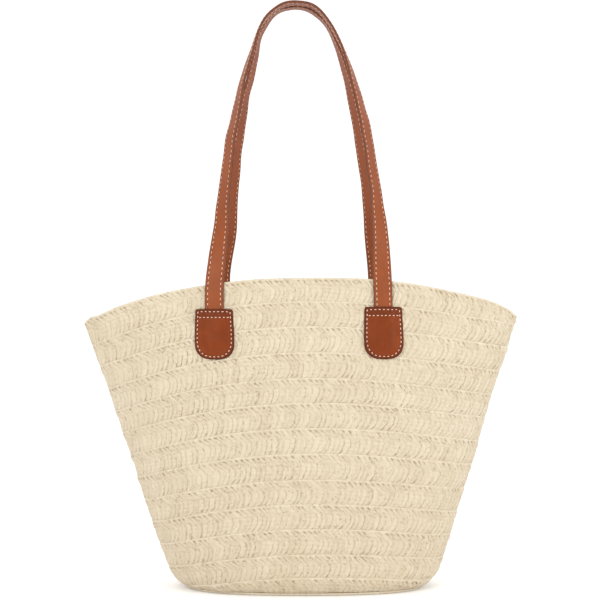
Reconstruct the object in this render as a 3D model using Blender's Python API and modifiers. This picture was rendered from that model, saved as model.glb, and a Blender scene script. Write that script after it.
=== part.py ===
# Beach bag: a fan-shaped straw tote with an oval base, a flattened conical wall,
# a cloth lining with a slip pocket and a magnetic snap, and two leather shoulder
# handles that are sewn on under four U-shaped leather tabs.
#
# Metres, +Z up. The origin is the centre of the underside of the base, the bag
# stands on Z = 0, the front faces -Y and the mouth is long in X.
import bpy
import bmesh
import math
from mathutils import Matrix, Vector

# ---------------------------------------------------------------- dimensions
BASE_THICK = 0.0026          # sewn braid, two plies where the rows lap
BASE_LENGTH = 0.2372          # oval underside
BASE_DEPTH = 0.098
SEAM_GAP = 0.0003            # turn-up seam between base and wall

WALL_THICK = 0.0026
WALL_FOOT = BASE_THICK + SEAM_GAP
RIM_CENTRE_Z = 0.3105        # top edge of the mouth at the middle of each face
RIM_DROP_ARC = 0.0294        # the mouth falls away to the sides as an arc ...
RIM_DROP_CORNER = 0.0134     # ... and a little more in the last part of it

# height, half length, half depth, fullness of the oval
# (fullness under 1 is a squarer oval, over 1 is a pointed lens)
SECTIONS = (
    (0.0029, 0.1192, 0.0495, 0.84),
    (0.0060, 0.1242, 0.0530, 0.84),
    (0.0110, 0.1300, 0.0565, 0.86),
    (0.0180, 0.1352, 0.0590, 0.88),
    (0.0280, 0.1396, 0.0605, 0.90),
    (0.0500, 0.1468, 0.0615, 0.93),
    (0.1000, 0.1632, 0.0618, 1.00),
    (0.1600, 0.1826, 0.0602, 1.08),
    (0.2200, 0.2030, 0.0565, 1.17),
    (0.2700, 0.2202, 0.0524, 1.25),
    (0.3150, 0.2359, 0.0486, 1.32),
)
SIDE_OFFSET = 1.8            # the inner surfaces step in more at the folds than on the faces

LINING_GAP = 0.0006
LINING_THICK = 0.0006
LINING_TOP = 0.935           # share of the wall's height
POCKET_HALF_ANGLE = 22.5     # degrees round the oval, about 150 mm wide
POCKET_LOW, POCKET_HIGH = 0.40, 0.76

TAB_X = 0.0825               # middle of each tab, left and right
TAB_TOP_Z = 0.2822
TAB_HEIGHT = 0.0485
TAB_TOP_WIDTH = 0.0366
TAB_WIDE = 0.0384
TAB_THICK = 0.0016
TAIL_THICK = 0.0020          # strap end, skived, under the tab
TAIL_LENGTH = 0.0340
TOUCH = 0.0004               # glued and sewn faces

STRAP_WIDTH = 0.0182
PLY_THICK = 0.00115
PLY_GAP = 0.0003
STRAP_THICK = 2 * PLY_THICK + PLY_GAP
FOLD_CLEAR = 0.0014          # from the tab's face to the handle's fold line
THREAD = 0.00034             # thread radius
STITCH_INSET = 0.0027        # stitch line from the strap's edge
TAB_STITCH_INSET = 0.0026

# handle line on one side: height, distance from the middle, turn in degrees of
# the strap from facing forward (0) to facing outward and up (90)
HANDLE = (
    (0.2838, 0.0825, 7.0),
    (0.3100, 0.0821, 8.5),
    (0.3350, 0.0806, 20.0),
    (0.3604, 0.0786, 35.0),
    (0.3852, 0.0765, 51.0),
    (0.4105, 0.0737, 58.0),
    (0.4591, 0.0670, 66.0),
    (0.5020, 0.0580, 75.0),
    (0.5320, 0.0496, 80.0),
    (0.5560, 0.0410, 84.0),
    (0.5700, 0.0343, 86.0),
    (0.5810, 0.0262, 88.0),
    (0.5880, 0.0172, 89.0),
    (0.5910, 0.0085, 90.0),
    (0.5918, 0.0000, 90.0),
)
HANDLE_TOP_Y = 0.0104        # the two handles lean together and meet at the top

SNAP_RADIUS = 0.0090
SNAP_LEVEL = 0.905           # share of the wall's height

AROUND = 48                  # facets round the wall
LEVELS = [0.010, 0.026, 0.05, 0.09, 0.18, 0.34, 0.52, 0.70, 0.86]


# ------------------------------------------------------------------- helpers
def clear_scene():
    for obj in list(bpy.data.objects):
        bpy.data.objects.remove(obj, do_unlink=True)


def new_collection(name):
    coll = bpy.data.collections.new(name)
    bpy.context.scene.collection.children.link(coll)
    return coll


def material(name, colour, roughness, metallic=0.0):
    mat = bpy.data.materials.new(name)
    mat.use_nodes = True
    shader = mat.node_tree.nodes["Principled BSDF"]
    shader.inputs["Base Color"].default_value = (*colour, 1.0)
    shader.inputs["Roughness"].default_value = roughness
    shader.inputs["Metallic"].default_value = metallic
    mat.diffuse_color = (*colour, 1.0)
    return mat


def blend_table(table, key, column):
    """Monotone cubic through one column of a table sorted by its first column."""
    xs = [row[0] for row in table]
    ys = [row[column] for row in table]
    n = len(xs)
    step = [(ys[i + 1] - ys[i]) / (xs[i + 1] - xs[i]) for i in range(n - 1)]
    slope = [step[0]] + [0.0] * (n - 2) + [step[-1]]
    for i in range(1, n - 1):
        if step[i - 1] * step[i] > 0.0:
            slope[i] = 2.0 * step[i - 1] * step[i] / (step[i - 1] + step[i])
    key = min(max(key, xs[0]), xs[-1])
    i = max(j for j in range(n - 1) if xs[j] <= key) if key < xs[-1] else n - 2
    h = xs[i + 1] - xs[i]
    u = (key - xs[i]) / h
    return ((2 * u**3 - 3 * u**2 + 1) * ys[i] + (u**3 - 2 * u**2 + u) * h * slope[i]
            + (-2 * u**3 + 3 * u**2) * ys[i + 1] + (u**3 - u**2) * h * slope[i + 1])


def signed_power(value, power):
    return math.copysign(abs(value) ** power, value)


def rim_height(angle):
    c = abs(math.cos(angle))
    return RIM_CENTRE_Z - RIM_DROP_ARC * c**2 - RIM_DROP_CORNER * c**6


def wall_point(angle, level, inset=0.0):
    """A point of the wall: angle round the oval (0 is the +X fold, 90 degrees the
    rear), level 0 at the foot to 1 at the rim, inset in from the outer face."""
    z = WALL_FOOT + (rim_height(angle) - WALL_FOOT) * level
    half_x = blend_table(SECTIONS, z, 1) - SIDE_OFFSET * inset
    half_y = blend_table(SECTIONS, z, 2) - inset
    fullness = blend_table(SECTIONS, z, 3)
    flat = min(fullness, 1.0)
    return Vector((half_x * signed_power(math.cos(angle), flat),
                   half_y * signed_power(math.sin(angle), fullness), z))


def wall_frame(x, z, side):
    """Where the wall's outer face is at x and z on one face (side -1 front, +1
    rear), with its outward normal."""
    def at(px, pz):
        half_x = blend_table(SECTIONS, pz, 1)
        half_y = blend_table(SECTIONS, pz, 2)
        fullness = blend_table(SECTIONS, pz, 3)
        c = (abs(px) / half_x) ** (1.0 / min(fullness, 1.0))
        s = math.sqrt(1.0 - c * c)
        return Vector((px, side * half_y * s**fullness, pz))
    here = at(x, z)
    along = at(x + 0.004, z) - at(x - 0.004, z)
    up = at(x, z + 0.01) - at(x, z - 0.01)
    normal = along.cross(up).normalized()
    if normal.y * side < 0:
        normal = -normal
    return here, normal


def close_mesh(name, verts, faces, coll, mat):
    mesh = bpy.data.meshes.new(name)
    mesh.from_pydata([tuple(v) for v in verts], [], faces)
    bm = bmesh.new()
    bm.from_mesh(mesh)
    bmesh.ops.recalc_face_normals(bm, faces=bm.faces)
    bm.to_mesh(mesh)
    bm.free()
    mesh.shade_smooth()
    mesh.set_sharp_from_angle(angle=math.radians(40))
    mesh.materials.append(mat)
    obj = bpy.data.objects.new(name, mesh)
    coll.objects.link(obj)
    return obj


def shell(name, angles, levels, outer, inner, ring, coll, mat):
    """A closed skin lofted through the wall's changing sections, between two
    insets: a full ring, or one panel of it."""
    verts = []
    n, m = len(angles), len(levels)
    for inset in (outer, inner):
        for level in levels:
            for angle in angles:
                verts.append(wall_point(angle, level, inset))

    def at(skin, i, j):
        return skin * n * m + j * n + (i % n if ring else i)
    faces = []
    last = n if ring else n - 1
    for j in range(m - 1):
        for i in range(last):
            faces.append((at(0, i, j), at(0, i + 1, j), at(0, i + 1, j + 1), at(0, i, j + 1)))
            faces.append((at(1, i, j), at(1, i, j + 1), at(1, i + 1, j + 1), at(1, i + 1, j)))
    for i in range(last):
        faces.append((at(0, i, 0), at(1, i, 0), at(1, i + 1, 0), at(0, i + 1, 0)))
        faces.append((at(0, i, m - 1), at(0, i + 1, m - 1), at(1, i + 1, m - 1), at(1, i, m - 1)))
    if not ring:
        for i in (0, n - 1):
            for j in range(m - 1):
                faces.append((at(0, i, j), at(0, i, j + 1), at(1, i, j + 1), at(1, i, j)))
    return close_mesh(name, verts, faces, coll, mat)


def flat_outline(name, points, half_thick, coll, mat):
    """A flat piece: a filled 2D outline, extruded by half its thickness each way."""
    curve = bpy.data.curves.new(name, "CURVE")
    curve.dimensions = "2D"
    curve.fill_mode = "BOTH"
    curve.extrude = half_thick
    spline = curve.splines.new("POLY")
    spline.points.add(len(points) - 1)
    for point, (x, y) in zip(spline.points, points):
        point.co = (x, y, 0.0, 1.0)
    spline.use_cyclic_u = True
    curve.materials.append(mat)
    obj = bpy.data.objects.new(name, curve)
    coll.objects.link(obj)
    return obj


def oval_points(half_x, half_y, power, count):
    return [(half_x * signed_power(math.cos(2 * math.pi * i / count), power),
             half_y * signed_power(math.sin(2 * math.pi * i / count), power))
            for i in range(count)]


def tab_outline(inset=0.0):
    """U-shaped tab, x across and y up, with y = 0 at its top edge."""
    half_top = TAB_TOP_WIDTH / 2 - inset
    half_wide = TAB_WIDE / 2 - inset
    low = -TAB_HEIGHT + inset
    round_from = low + 0.0150
    corner = max(0.0022 - inset * 0.4, 0.0008)
    right = [(half_top - corner, -inset), (half_top - 0.3 * corner, -inset - 0.3 * corner),
             (half_top, -inset - corner)]
    for i in range(1, 4):
        y = -inset - corner + (round_from + inset + corner) * i / 4
        right.append((half_top + (half_wide - half_top) * math.sin(math.pi / 2 * i / 4), y))
    for i in range(9):
        turn = math.pi / 2 * i / 8
        right.append((half_wide * math.cos(turn) ** 0.72,
                      round_from - (round_from - low) * math.sin(turn) ** 0.95))
    right[-1] = (0.0, low)
    left = [(-x, y) for x, y in reversed(right[:-1])]
    return right + left


def stitched_line(name, points, closed, coll, mat):
    """Sewing thread as a thin rod."""
    curve = bpy.data.curves.new(name, "CURVE")
    curve.dimensions = "3D"
    curve.bevel_depth = THREAD
    curve.bevel_resolution = 0
    curve.use_fill_caps = not closed
    spline = curve.splines.new("POLY")
    spline.points.add(len(points) - 1)
    for point, co in zip(spline.points, points):
        point.co = (*co, 1.0)
    spline.use_cyclic_u = closed
    curve.materials.append(mat)
    obj = bpy.data.objects.new(name, curve)
    coll.objects.link(obj)
    return obj


def facing(x, z, side, out):
    """Placement on the bag's face: local x across, y up the wall, z outward."""
    here, normal = wall_frame(x, z, side)
    up = Vector((0, 0, 1)) - normal * normal.z
    up.normalize()
    across = up.cross(normal).normalized()
    place = Matrix((across, up, normal)).transposed().to_4x4()
    place.translation = here + normal * out
    return place


# ------------------------------------------------------------- handle's line
def handle_depth(height):
    """How far the handle's middle is in front of the bag's middle plane."""
    start = HANDLE[0][0]
    free = 0.3100
    out = TOUCH + STRAP_THICK / 2

    def beside_wall(z):
        here, normal = wall_frame(TAB_X, z, 1)
        return here.y + out * normal.y
    if height <= free:
        return beside_wall(height)
    y0 = beside_wall(free)
    slope0 = (beside_wall(free) - beside_wall(start)) / (free - start)
    span = HANDLE[-1][0] - free
    u = (height - free) / span
    slope1 = -0.10
    return ((2 * u**3 - 3 * u**2 + 1) * y0 + (u**3 - 2 * u**2 + u) * span * slope0
            + (-2 * u**3 + 3 * u**2) * HANDLE_TOP_Y + (u**3 - u**2) * span * slope1)


def handle_stations(side):
    """Centre line and outer-face normal from the left end to the right end."""
    half = []
    for i in range(len(HANDLE) - 1):
        z0, x0, t0 = HANDLE[i]
        z1, x1, t1 = HANDLE[i + 1]
        run = math.hypot(z1 - z0, x1 - x0)
        parts = max(1, round(run / 0.0105))
        for k in range(parts):
            u = k / parts
            half.append(catmull(i, u))
    half.append(catmull(len(HANDLE) - 2, 1.0))
    full = [(-x, z, t, -1) for z, x, t in half[:-1]] + [(0.0, half[-1][0], 90.0, 0)]
    full += [(x, z, t, 1) for z, x, t in reversed(half[:-1])]
    centre = [Vector((x, side * handle_depth(z), z)) for x, z, t, leg in full]
    stations = []
    for i, (x, z, t, leg) in enumerate(full):
        before = centre[max(i - 1, 0)]
        after = centre[min(i + 1, len(full) - 1)]
        along = (after - before).normalized()
        front = Vector((0, side, 0))
        front = (front - along * front.dot(along)).normalized()
        outward = along.cross(front) * side
        if (outward.x * (1 if x > 0 else -1) < 0 and leg) or (not leg and outward.z < 0):
            outward = -outward
        turn = math.radians(t)
        normal = (front * math.cos(turn) + outward * math.sin(turn)).normalized()
        stations.append((centre[i], along, normal, along.cross(normal).normalized()))
    return stations


def catmull(i, u):
    rows = [HANDLE[max(i - 1, 0)], HANDLE[i], HANDLE[i + 1], None]
    if i + 2 < len(HANDLE):
        rows[3] = HANDLE[i + 2]
    else:                       # across the top: the mirrored station
        rows[3] = (HANDLE[-2][0], -HANDLE[-2][1], 90.0)
    if i == 0:
        rows[0] = tuple(2 * a - b for a, b in zip(rows[1], rows[2]))
    out = []
    for a, b, c, d in zip(*rows):
        out.append(0.5 * (2 * b + (c - a) * u + (2 * a - 5 * b + 4 * c - d) * u**2
                          + (3 * b - a - 3 * c + d) * u**3))
    return tuple(out)


def ribbon(name, stations, low, high, half_width, coll, mat):
    """A flat strip along the stations, between two distances along the normal."""
    verts, faces = [], []
    for centre, along, normal, across in stations:
        for w, d in ((-half_width, low), (half_width, low), (half_width, high), (-half_width, high)):
            verts.append(centre + across * w + normal * d)
    for i in range(len(stations) - 1):
        a = 4 * i
        # both broad faces take the same diagonal, so the plies stay parallel as they twist
        faces += [(a, a + 1, a + 5), (a, a + 5, a + 4)]
        faces += [(a + 3, a + 7, a + 6), (a + 3, a + 6, a + 2)]
        faces += [(a + 1, a + 2, a + 6), (a + 1, a + 6, a + 5)]
        faces += [(a, a + 4, a + 7), (a, a + 7, a + 3)]
    faces.append((3, 2, 1, 0))
    end = 4 * (len(stations) - 1)
    faces.append((end, end + 1, end + 2, end + 3))
    return close_mesh(name, verts, faces, coll, mat)


# --------------------------------------------------------------------- build
clear_scene()
bag = new_collection("beach_bag")

straw = (0.79, 0.67, 0.48)
tan = (0.28, 0.075, 0.025)
strap_tan = (0.24, 0.070, 0.028)
thread_white = (0.80, 0.74, 0.64)
cloth = (0.74, 0.66, 0.54)

# base: an oval of braid, sewn in a flat coil
base = flat_outline("straw_base", oval_points(BASE_LENGTH / 2, BASE_DEPTH / 2, 0.84, 56),
                    BASE_THICK / 2, bag, material("straw_base", straw, 0.75))
base.location = (0, 0, BASE_THICK / 2)

# wall: the same braid wound on upwards, from the oval to the lens of the mouth
round_bag = [2 * math.pi * i / AROUND for i in range(AROUND)]
wall = shell("straw_wall", round_bag, [0.0] + LEVELS + [1.0],
             0.0, WALL_THICK, True, bag, material("straw_wall", straw, 0.72))

# lining: base, front and rear panels, sewn to the straw under the rim
lining_mat = material("lining", cloth, 0.85)
in0 = WALL_THICK + LINING_GAP
in1 = in0 + LINING_THICK
lining_levels = LEVELS[1:] + [LINING_TOP]
for name, start in (("lining_rear", 0.0), ("lining_front", math.pi)):
    edge = math.radians(0.9)
    angles = ([start + edge] + [start + math.pi * i / (AROUND / 2) for i in range(1, AROUND // 2)]
              + [start + math.pi - edge])
    shell(name, angles, lining_levels, in0, in1, False, bag, material(name, cloth, 0.85))
lining_base = flat_outline("lining_base", oval_points(0.1192 - SIDE_OFFSET * in0 - 0.0006,
                                                      0.0495 - in0 - 0.0006, 0.84, 48),
                           LINING_THICK / 2, bag, material("lining_base", cloth, 0.85))
lining_base.location = (0, 0, WALL_FOOT + 0.0003 + LINING_THICK / 2)

# open-topped slip pocket sewn to the rear lining
half = math.radians(POCKET_HALF_ANGLE)
pocket_angles = [math.pi / 2 + half * i / 3 for i in range(-3, 4)]
pocket_levels = [POCKET_LOW, 0.52, 0.61, 0.70, POCKET_HIGH]
shell("lining_pocket", pocket_angles, pocket_levels, in1 + 0.0005, in1 + 0.0011, False, bag,
      material("lining_pocket", cloth, 0.85))

# magnetic snap: a leather patch, a steel washer and one half of the snap on
# each face's lining, in the middle just under the rim
patch_points = [(x * 0.0135, y * 0.0165) for x, y in oval_points(1.0, 1.0, 0.45, 24)]
for side, word in ((-1, "front"), (1, "rear")):
    angle = math.pi / 2 * side
    level_z = wall_point(angle, SNAP_LEVEL).z
    place = facing(0.0, level_z, side, 0.0)
    depth = in1 + 0.0004
    washer_mid = depth + 0.0003
    patch_mid = depth + 0.0006 + 0.0003 + 0.0007
    half_face = depth + 0.0006 + 0.0003 + 0.0014 + 0.0003

    washer_profile = [(0.0028, -0.0003), (0.0028, 0.0003), (0.0070, 0.0003), (0.0070, -0.0003)]
    if side < 0:      # socket half: a ring magnet in a cup, with a hole for the stud
        top = 0.0032
        snap_profile = [(0.0, 0.0008), (0.0029, 0.0008), (0.0029, top), (0.0078, top),
                        (SNAP_RADIUS, top - 0.0009), (SNAP_RADIUS, 0.0), (0.0, 0.0)]
        snap_name = "snap_socket"
    else:             # stud half: a thin plate with the stud standing on it
        snap_profile = [(0.0, 0.0040), (0.0019, 0.0040), (0.0025, 0.0034), (0.0025, 0.0016),
                        (0.0080, 0.0016), (SNAP_RADIUS, 0.0010), (SNAP_RADIUS, 0.0), (0.0, 0.0)]
        snap_name = "snap_stud"
    steel = material("snap_" + word, (0.72, 0.66, 0.50), 0.28, 1.0)
    # the snap faces into the bag, so its own z runs along the wall's inward normal
    inward = place @ Matrix.Rotation(math.pi, 4, "Y")
    for name, profile, offset, closed in (
            (snap_name, snap_profile, half_face, False),
            ("snap_washer_" + word, washer_profile, washer_mid, True)):
        mesh = bpy.data.meshes.new(name)
        count = len(profile)
        edges = [(i, i + 1) for i in range(count - 1)]
        if closed:
            edges.append((count - 1, 0))
        mesh.from_pydata([(r, 0.0, z) for r, z in profile], edges, [])
        mesh.materials.append(steel)
        obj = bpy.data.objects.new(name, mesh)
        bag.objects.link(obj)
        turned = obj.modifiers.new("turned", "SCREW")
        turned.axis = "Z"
        turned.steps = 20
        turned.render_steps = 20
        turned.use_merge_vertices = True
        turned.merge_threshold = 0.00005
        turned.use_smooth_shade = True
        spot = inward.copy()
        spot.translation = inward.translation + (inward.to_3x3() @ Vector((0, 0, offset)))
        obj.matrix_world = spot
    patch = flat_outline("snap_patch_" + word, patch_points, 0.0007, bag,
                         material("snap_patch_" + word, tan, 0.5))
    spot = inward.copy()
    spot.translation = inward.translation + (inward.to_3x3() @ Vector((0, 0, patch_mid)))
    patch.matrix_world = spot

# tabs, the strap ends under them, and their stitching
tab_mid_z = TAB_TOP_Z - TAB_HEIGHT / 2
tail_out = TOUCH + TAIL_THICK / 2
tab_out = TOUCH + TAIL_THICK + 0.0003 + TAB_THICK / 2
for side, face_word in ((-1, "front"), (1, "rear")):
    for hand, hand_word in ((-1, "left"), (1, "right")):
        word = face_word + "_" + hand_word
        x = hand * TAB_X
        place = facing(x, tab_mid_z, side, 0.0)
        lift = TAB_HEIGHT / 2          # the outline hangs down from its top edge
        tab = flat_outline("tab_" + word, tab_outline(), TAB_THICK / 2, bag,
                           material("tab_" + word, tan, 0.42))
        tab.matrix_world = place @ Matrix.Translation((0, lift, tab_out))

        tail_points = [(-STRAP_WIDTH / 2, 0), (-STRAP_WIDTH / 2, -TAIL_LENGTH + 0.003),
                       (-STRAP_WIDTH / 2 + 0.003, -TAIL_LENGTH),
                       (STRAP_WIDTH / 2 - 0.003, -TAIL_LENGTH),
                       (STRAP_WIDTH / 2, -TAIL_LENGTH + 0.003), (STRAP_WIDTH / 2, 0)]
        tail = flat_outline("strap_end_" + word, tail_points, TAIL_THICK / 2, bag,
                            material("strap_end_" + word, strap_tan, 0.5))
        tail.matrix_world = place @ Matrix.Translation((0, lift - 0.0012, tail_out))

        seam = [(px, py, 0.0) for px, py in tab_outline(TAB_STITCH_INSET)]
        span = TAB_TOP_WIDTH / 2 - TAB_STITCH_INSET - 0.0014
        row = [(-span, -0.0080, 0.0), (span, -0.0080, 0.0)]
        thread = material("tab_thread_" + word, thread_white, 0.6)
        for name, points, closed in (("tab_stitching_" + word, seam, True),
                                     ("tab_bar_stitch_" + word, row, False)):
            stitches = stitched_line(name, points, closed, bag, thread)
            stitches.matrix_world = place @ Matrix.Translation(
                (0, lift, tab_out + TAB_THICK / 2 + 0.0003 + THREAD))

# handles: two plies of leather and two lines of stitching each, all turning
# about the top edge of that face's tabs
for side, word in ((-1, "front"), (1, "rear")):
    edge_here, edge_normal = wall_frame(TAB_X, TAB_TOP_Z, side)
    # the fold runs just outside the tab's stitching, so the strap clears it when it lies over
    fold_out = tab_out + TAB_THICK / 2 + FOLD_CLEAR
    pivot = Vector((0.0, edge_here.y + edge_normal.y * fold_out, TAB_TOP_Z + 0.0006))
    hinge = bpy.data.objects.new(word + "_handle_pivot", None)
    hinge.empty_display_size = 0.02
    hinge.location = pivot
    bag.objects.link(hinge)

    stations = handle_stations(side)
    half_gap = PLY_GAP / 2
    width = STRAP_WIDTH / 2
    pieces = [
        ribbon(word + "_handle_face", stations, half_gap, half_gap + PLY_THICK, width, bag,
               material(word + "_handle_face", strap_tan, 0.42)),
        ribbon(word + "_handle_back", stations, -half_gap - PLY_THICK, -half_gap, width, bag,
               material(word + "_handle_back", strap_tan, 0.55)),
    ]
    rise = STRAP_THICK / 2 + 0.0003 + THREAD
    for edge, edge_word in ((-1, "inner"), (1, "outer")):
        run = [tuple(c + n * rise + a * edge * (width - STITCH_INSET))
               for c, t, n, a in stations[1:-1]]
        name = word + "_handle_stitching_" + edge_word
        pieces.append(stitched_line(name, run, False, bag, material(name, thread_white, 0.6)))
    for piece in pieces:
        piece.parent = hinge
        piece.matrix_parent_inverse = Matrix.Translation(-pivot)
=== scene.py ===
import bpy
import math
import numpy as np
from mathutils import Matrix, Vector


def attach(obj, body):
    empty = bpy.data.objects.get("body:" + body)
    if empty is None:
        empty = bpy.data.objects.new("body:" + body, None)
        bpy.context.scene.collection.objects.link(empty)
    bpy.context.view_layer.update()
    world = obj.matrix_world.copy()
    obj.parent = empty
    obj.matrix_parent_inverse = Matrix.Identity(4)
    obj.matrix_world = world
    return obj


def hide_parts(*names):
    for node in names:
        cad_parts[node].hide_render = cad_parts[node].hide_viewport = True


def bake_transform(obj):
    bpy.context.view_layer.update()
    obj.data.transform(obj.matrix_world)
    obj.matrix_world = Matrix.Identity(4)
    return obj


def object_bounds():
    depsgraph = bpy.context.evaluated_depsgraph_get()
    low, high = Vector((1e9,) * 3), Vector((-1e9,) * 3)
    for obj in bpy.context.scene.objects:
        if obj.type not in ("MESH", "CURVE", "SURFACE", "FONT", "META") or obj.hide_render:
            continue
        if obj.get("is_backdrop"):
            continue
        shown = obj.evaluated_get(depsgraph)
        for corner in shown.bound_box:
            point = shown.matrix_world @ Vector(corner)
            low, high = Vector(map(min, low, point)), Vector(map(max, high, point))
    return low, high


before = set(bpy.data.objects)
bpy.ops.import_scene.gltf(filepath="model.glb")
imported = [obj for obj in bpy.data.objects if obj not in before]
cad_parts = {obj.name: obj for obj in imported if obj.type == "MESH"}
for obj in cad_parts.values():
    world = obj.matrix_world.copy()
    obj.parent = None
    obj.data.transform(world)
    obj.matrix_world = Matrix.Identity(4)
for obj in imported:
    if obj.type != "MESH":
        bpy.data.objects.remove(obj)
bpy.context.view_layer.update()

# ------------------------------------------------------------------ dimensions
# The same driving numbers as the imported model, in metres.
WALL_FOOT = 0.0029
RIM_CENTRE_Z = 0.3105
RIM_DROP_ARC = 0.0294
RIM_DROP_CORNER = 0.0134
SECTIONS = (
    (0.0029, 0.1192, 0.0495, 0.84),
    (0.0060, 0.1242, 0.0530, 0.84),
    (0.0110, 0.1300, 0.0565, 0.86),
    (0.0180, 0.1352, 0.0590, 0.88),
    (0.0280, 0.1396, 0.0605, 0.90),
    (0.0500, 0.1468, 0.0615, 0.93),
    (0.1000, 0.1632, 0.0618, 1.00),
    (0.1600, 0.1826, 0.0602, 1.08),
    (0.2200, 0.2030, 0.0565, 1.17),
    (0.2700, 0.2202, 0.0524, 1.25),
    (0.3150, 0.2359, 0.0486, 1.32),
)
SIDE_OFFSET = 1.8
WALL_THICK = 0.0026
LINING_IN = WALL_THICK + 0.0006
LINING_THICK = 0.0006
LINING_TOP = 0.935
BASE_THICK = 0.0026
BASE_LENGTH = 0.2372
BASE_DEPTH = 0.098

TAB_X = 0.0825
TAB_TOP_Z = 0.2822
TAB_HEIGHT = 0.0485
TAB_TOP_WIDTH = 0.0366
TAB_WIDE = 0.0384
TAB_STITCH_INSET = 0.0026
TAIL_LENGTH = 0.0340

STRAP_WIDTH = 0.0182
STRAP_THICK = 0.0026
STITCH_INSET = 0.0027
HANDLE = (
    (0.2838, 0.0825, 7.0), (0.3100, 0.0821, 8.5), (0.3350, 0.0806, 19.0),
    (0.3604, 0.0786, 33.0), (0.3852, 0.0765, 46.0), (0.4105, 0.0737, 53.0),
    (0.4591, 0.0670, 60.0), (0.5020, 0.0582, 70.0), (0.5320, 0.0500, 77.0),
    (0.5560, 0.0410, 84.0), (0.5700, 0.0343, 86.0), (0.5810, 0.0262, 88.0),
    (0.5880, 0.0172, 89.0), (0.5910, 0.0085, 90.0), (0.5918, 0.0000, 90.0),
)
HANDLE_TOP_Y = 0.0104

# The braid: one long plait wound round and up, its rows climbing one row each turn.
# Heights of the row edges on the middle of the front face, lowest first.
ROW_LINES = (-0.0042, 0.0198, 0.0429, 0.0675, 0.0918, 0.1159, 0.1413, 0.1661,
             0.1907, 0.2148, 0.2400, 0.2654, 0.2901, 0.3148)
ROW = 0.0247                 # width of the plait that shows
PITCH = 0.0054               # one strand of the plait
STEPS = 8                    # mesh columns to a strand
LEAN = 0.0135                # the soft bag stands a little askew

PI = math.pi


def lean(v):
    v = np.array(v, float)
    z = v[:, 2]
    v[:, 0] -= np.where(z > 0.28, LEAN, 1.35 * LEAN) * (z - 0.28)
    # the limp loop bows a little to one side between the rim and its top
    v[:, 0] += 0.0021 * smooth(0.31, 0.37, z) * (1 - smooth(0.53, 0.585, z))
    return v


# ------------------------------------------------------------------- the wall
def monotone(table, column, keys):
    xs = np.array([r[0] for r in table])
    ys = np.array([r[column] for r in table])
    n = len(xs)
    step = np.diff(ys) / np.diff(xs)
    slope = np.zeros(n)
    slope[0], slope[-1] = step[0], step[-1]
    for i in range(1, n - 1):
        if step[i - 1] * step[i] > 0:
            slope[i] = 2 * step[i - 1] * step[i] / (step[i - 1] + step[i])
    keys = np.clip(keys, xs[0], xs[-1])
    i = np.clip(np.searchsorted(xs, keys, side="right") - 1, 0, n - 2)
    h = xs[i + 1] - xs[i]
    u = (keys - xs[i]) / h
    return ((2 * u**3 - 3 * u**2 + 1) * ys[i] + (u**3 - 2 * u**2 + u) * h * slope[i]
            + (-2 * u**3 + 3 * u**2) * ys[i + 1] + (u**3 - u**2) * h * slope[i + 1])


ZS = np.linspace(0.0029, 0.3150, 700)
HALF_X = monotone(SECTIONS, 1, ZS)
HALF_Y = monotone(SECTIONS, 2, ZS)
FULL = monotone(SECTIONS, 3, ZS)


def section(z):
    return np.interp(z, ZS, HALF_X), np.interp(z, ZS, HALF_Y), np.interp(z, ZS, FULL)


def wall(a, z, inset=0.0, side_offset=SIDE_OFFSET):
    """Points of the wall at angles a and heights z, stepped in from its outer face."""
    hx, hy, full = section(z)
    c, s = np.cos(a), np.sin(a)
    x = (hx - side_offset * inset) * np.sign(c) * np.abs(c) ** np.minimum(full, 1.0)
    y = (hy - inset) * np.sign(s) * np.abs(s) ** full
    return np.stack([x, y, z + 0 * a], -1)


def unit(v):
    return v / np.maximum(np.linalg.norm(v, axis=-1, keepdims=True), 1e-12)


def wall_normal(a, z):
    e = 0.02
    pa = wall(a + e, z) - wall(a - e, z)
    pz = wall(a, z + 0.003) - wall(a, z - 0.003)
    return unit(np.cross(pa, pz))


def rim_height(a):
    c = np.abs(np.cos(a))
    return RIM_CENTRE_Z - RIM_DROP_ARC * c**2 - RIM_DROP_CORNER * c**6


def face_point(x, z, side, out):
    """A point over one face of the wall (side -1 front, +1 rear), out from its skin."""
    x, z, out = np.broadcast_arrays(np.asarray(x, float), np.asarray(z, float), np.asarray(out, float))

    def at(px, pz):
        hx, hy, full = section(pz)
        c = np.clip((np.abs(px) / hx) ** (1.0 / np.minimum(full, 1.0)), 0, 1)
        return np.stack([px, side * hy * np.sqrt(1 - c * c) ** full, pz], -1)
    here = at(x, z)
    n = unit(np.cross(at(x + 0.004, z) - at(x - 0.004, z), at(x, z + 0.01) - at(x, z - 0.01)))
    n = np.where((n[..., 1:2] * side) < 0, -n, n)
    return here + n * out[..., None], n


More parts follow.
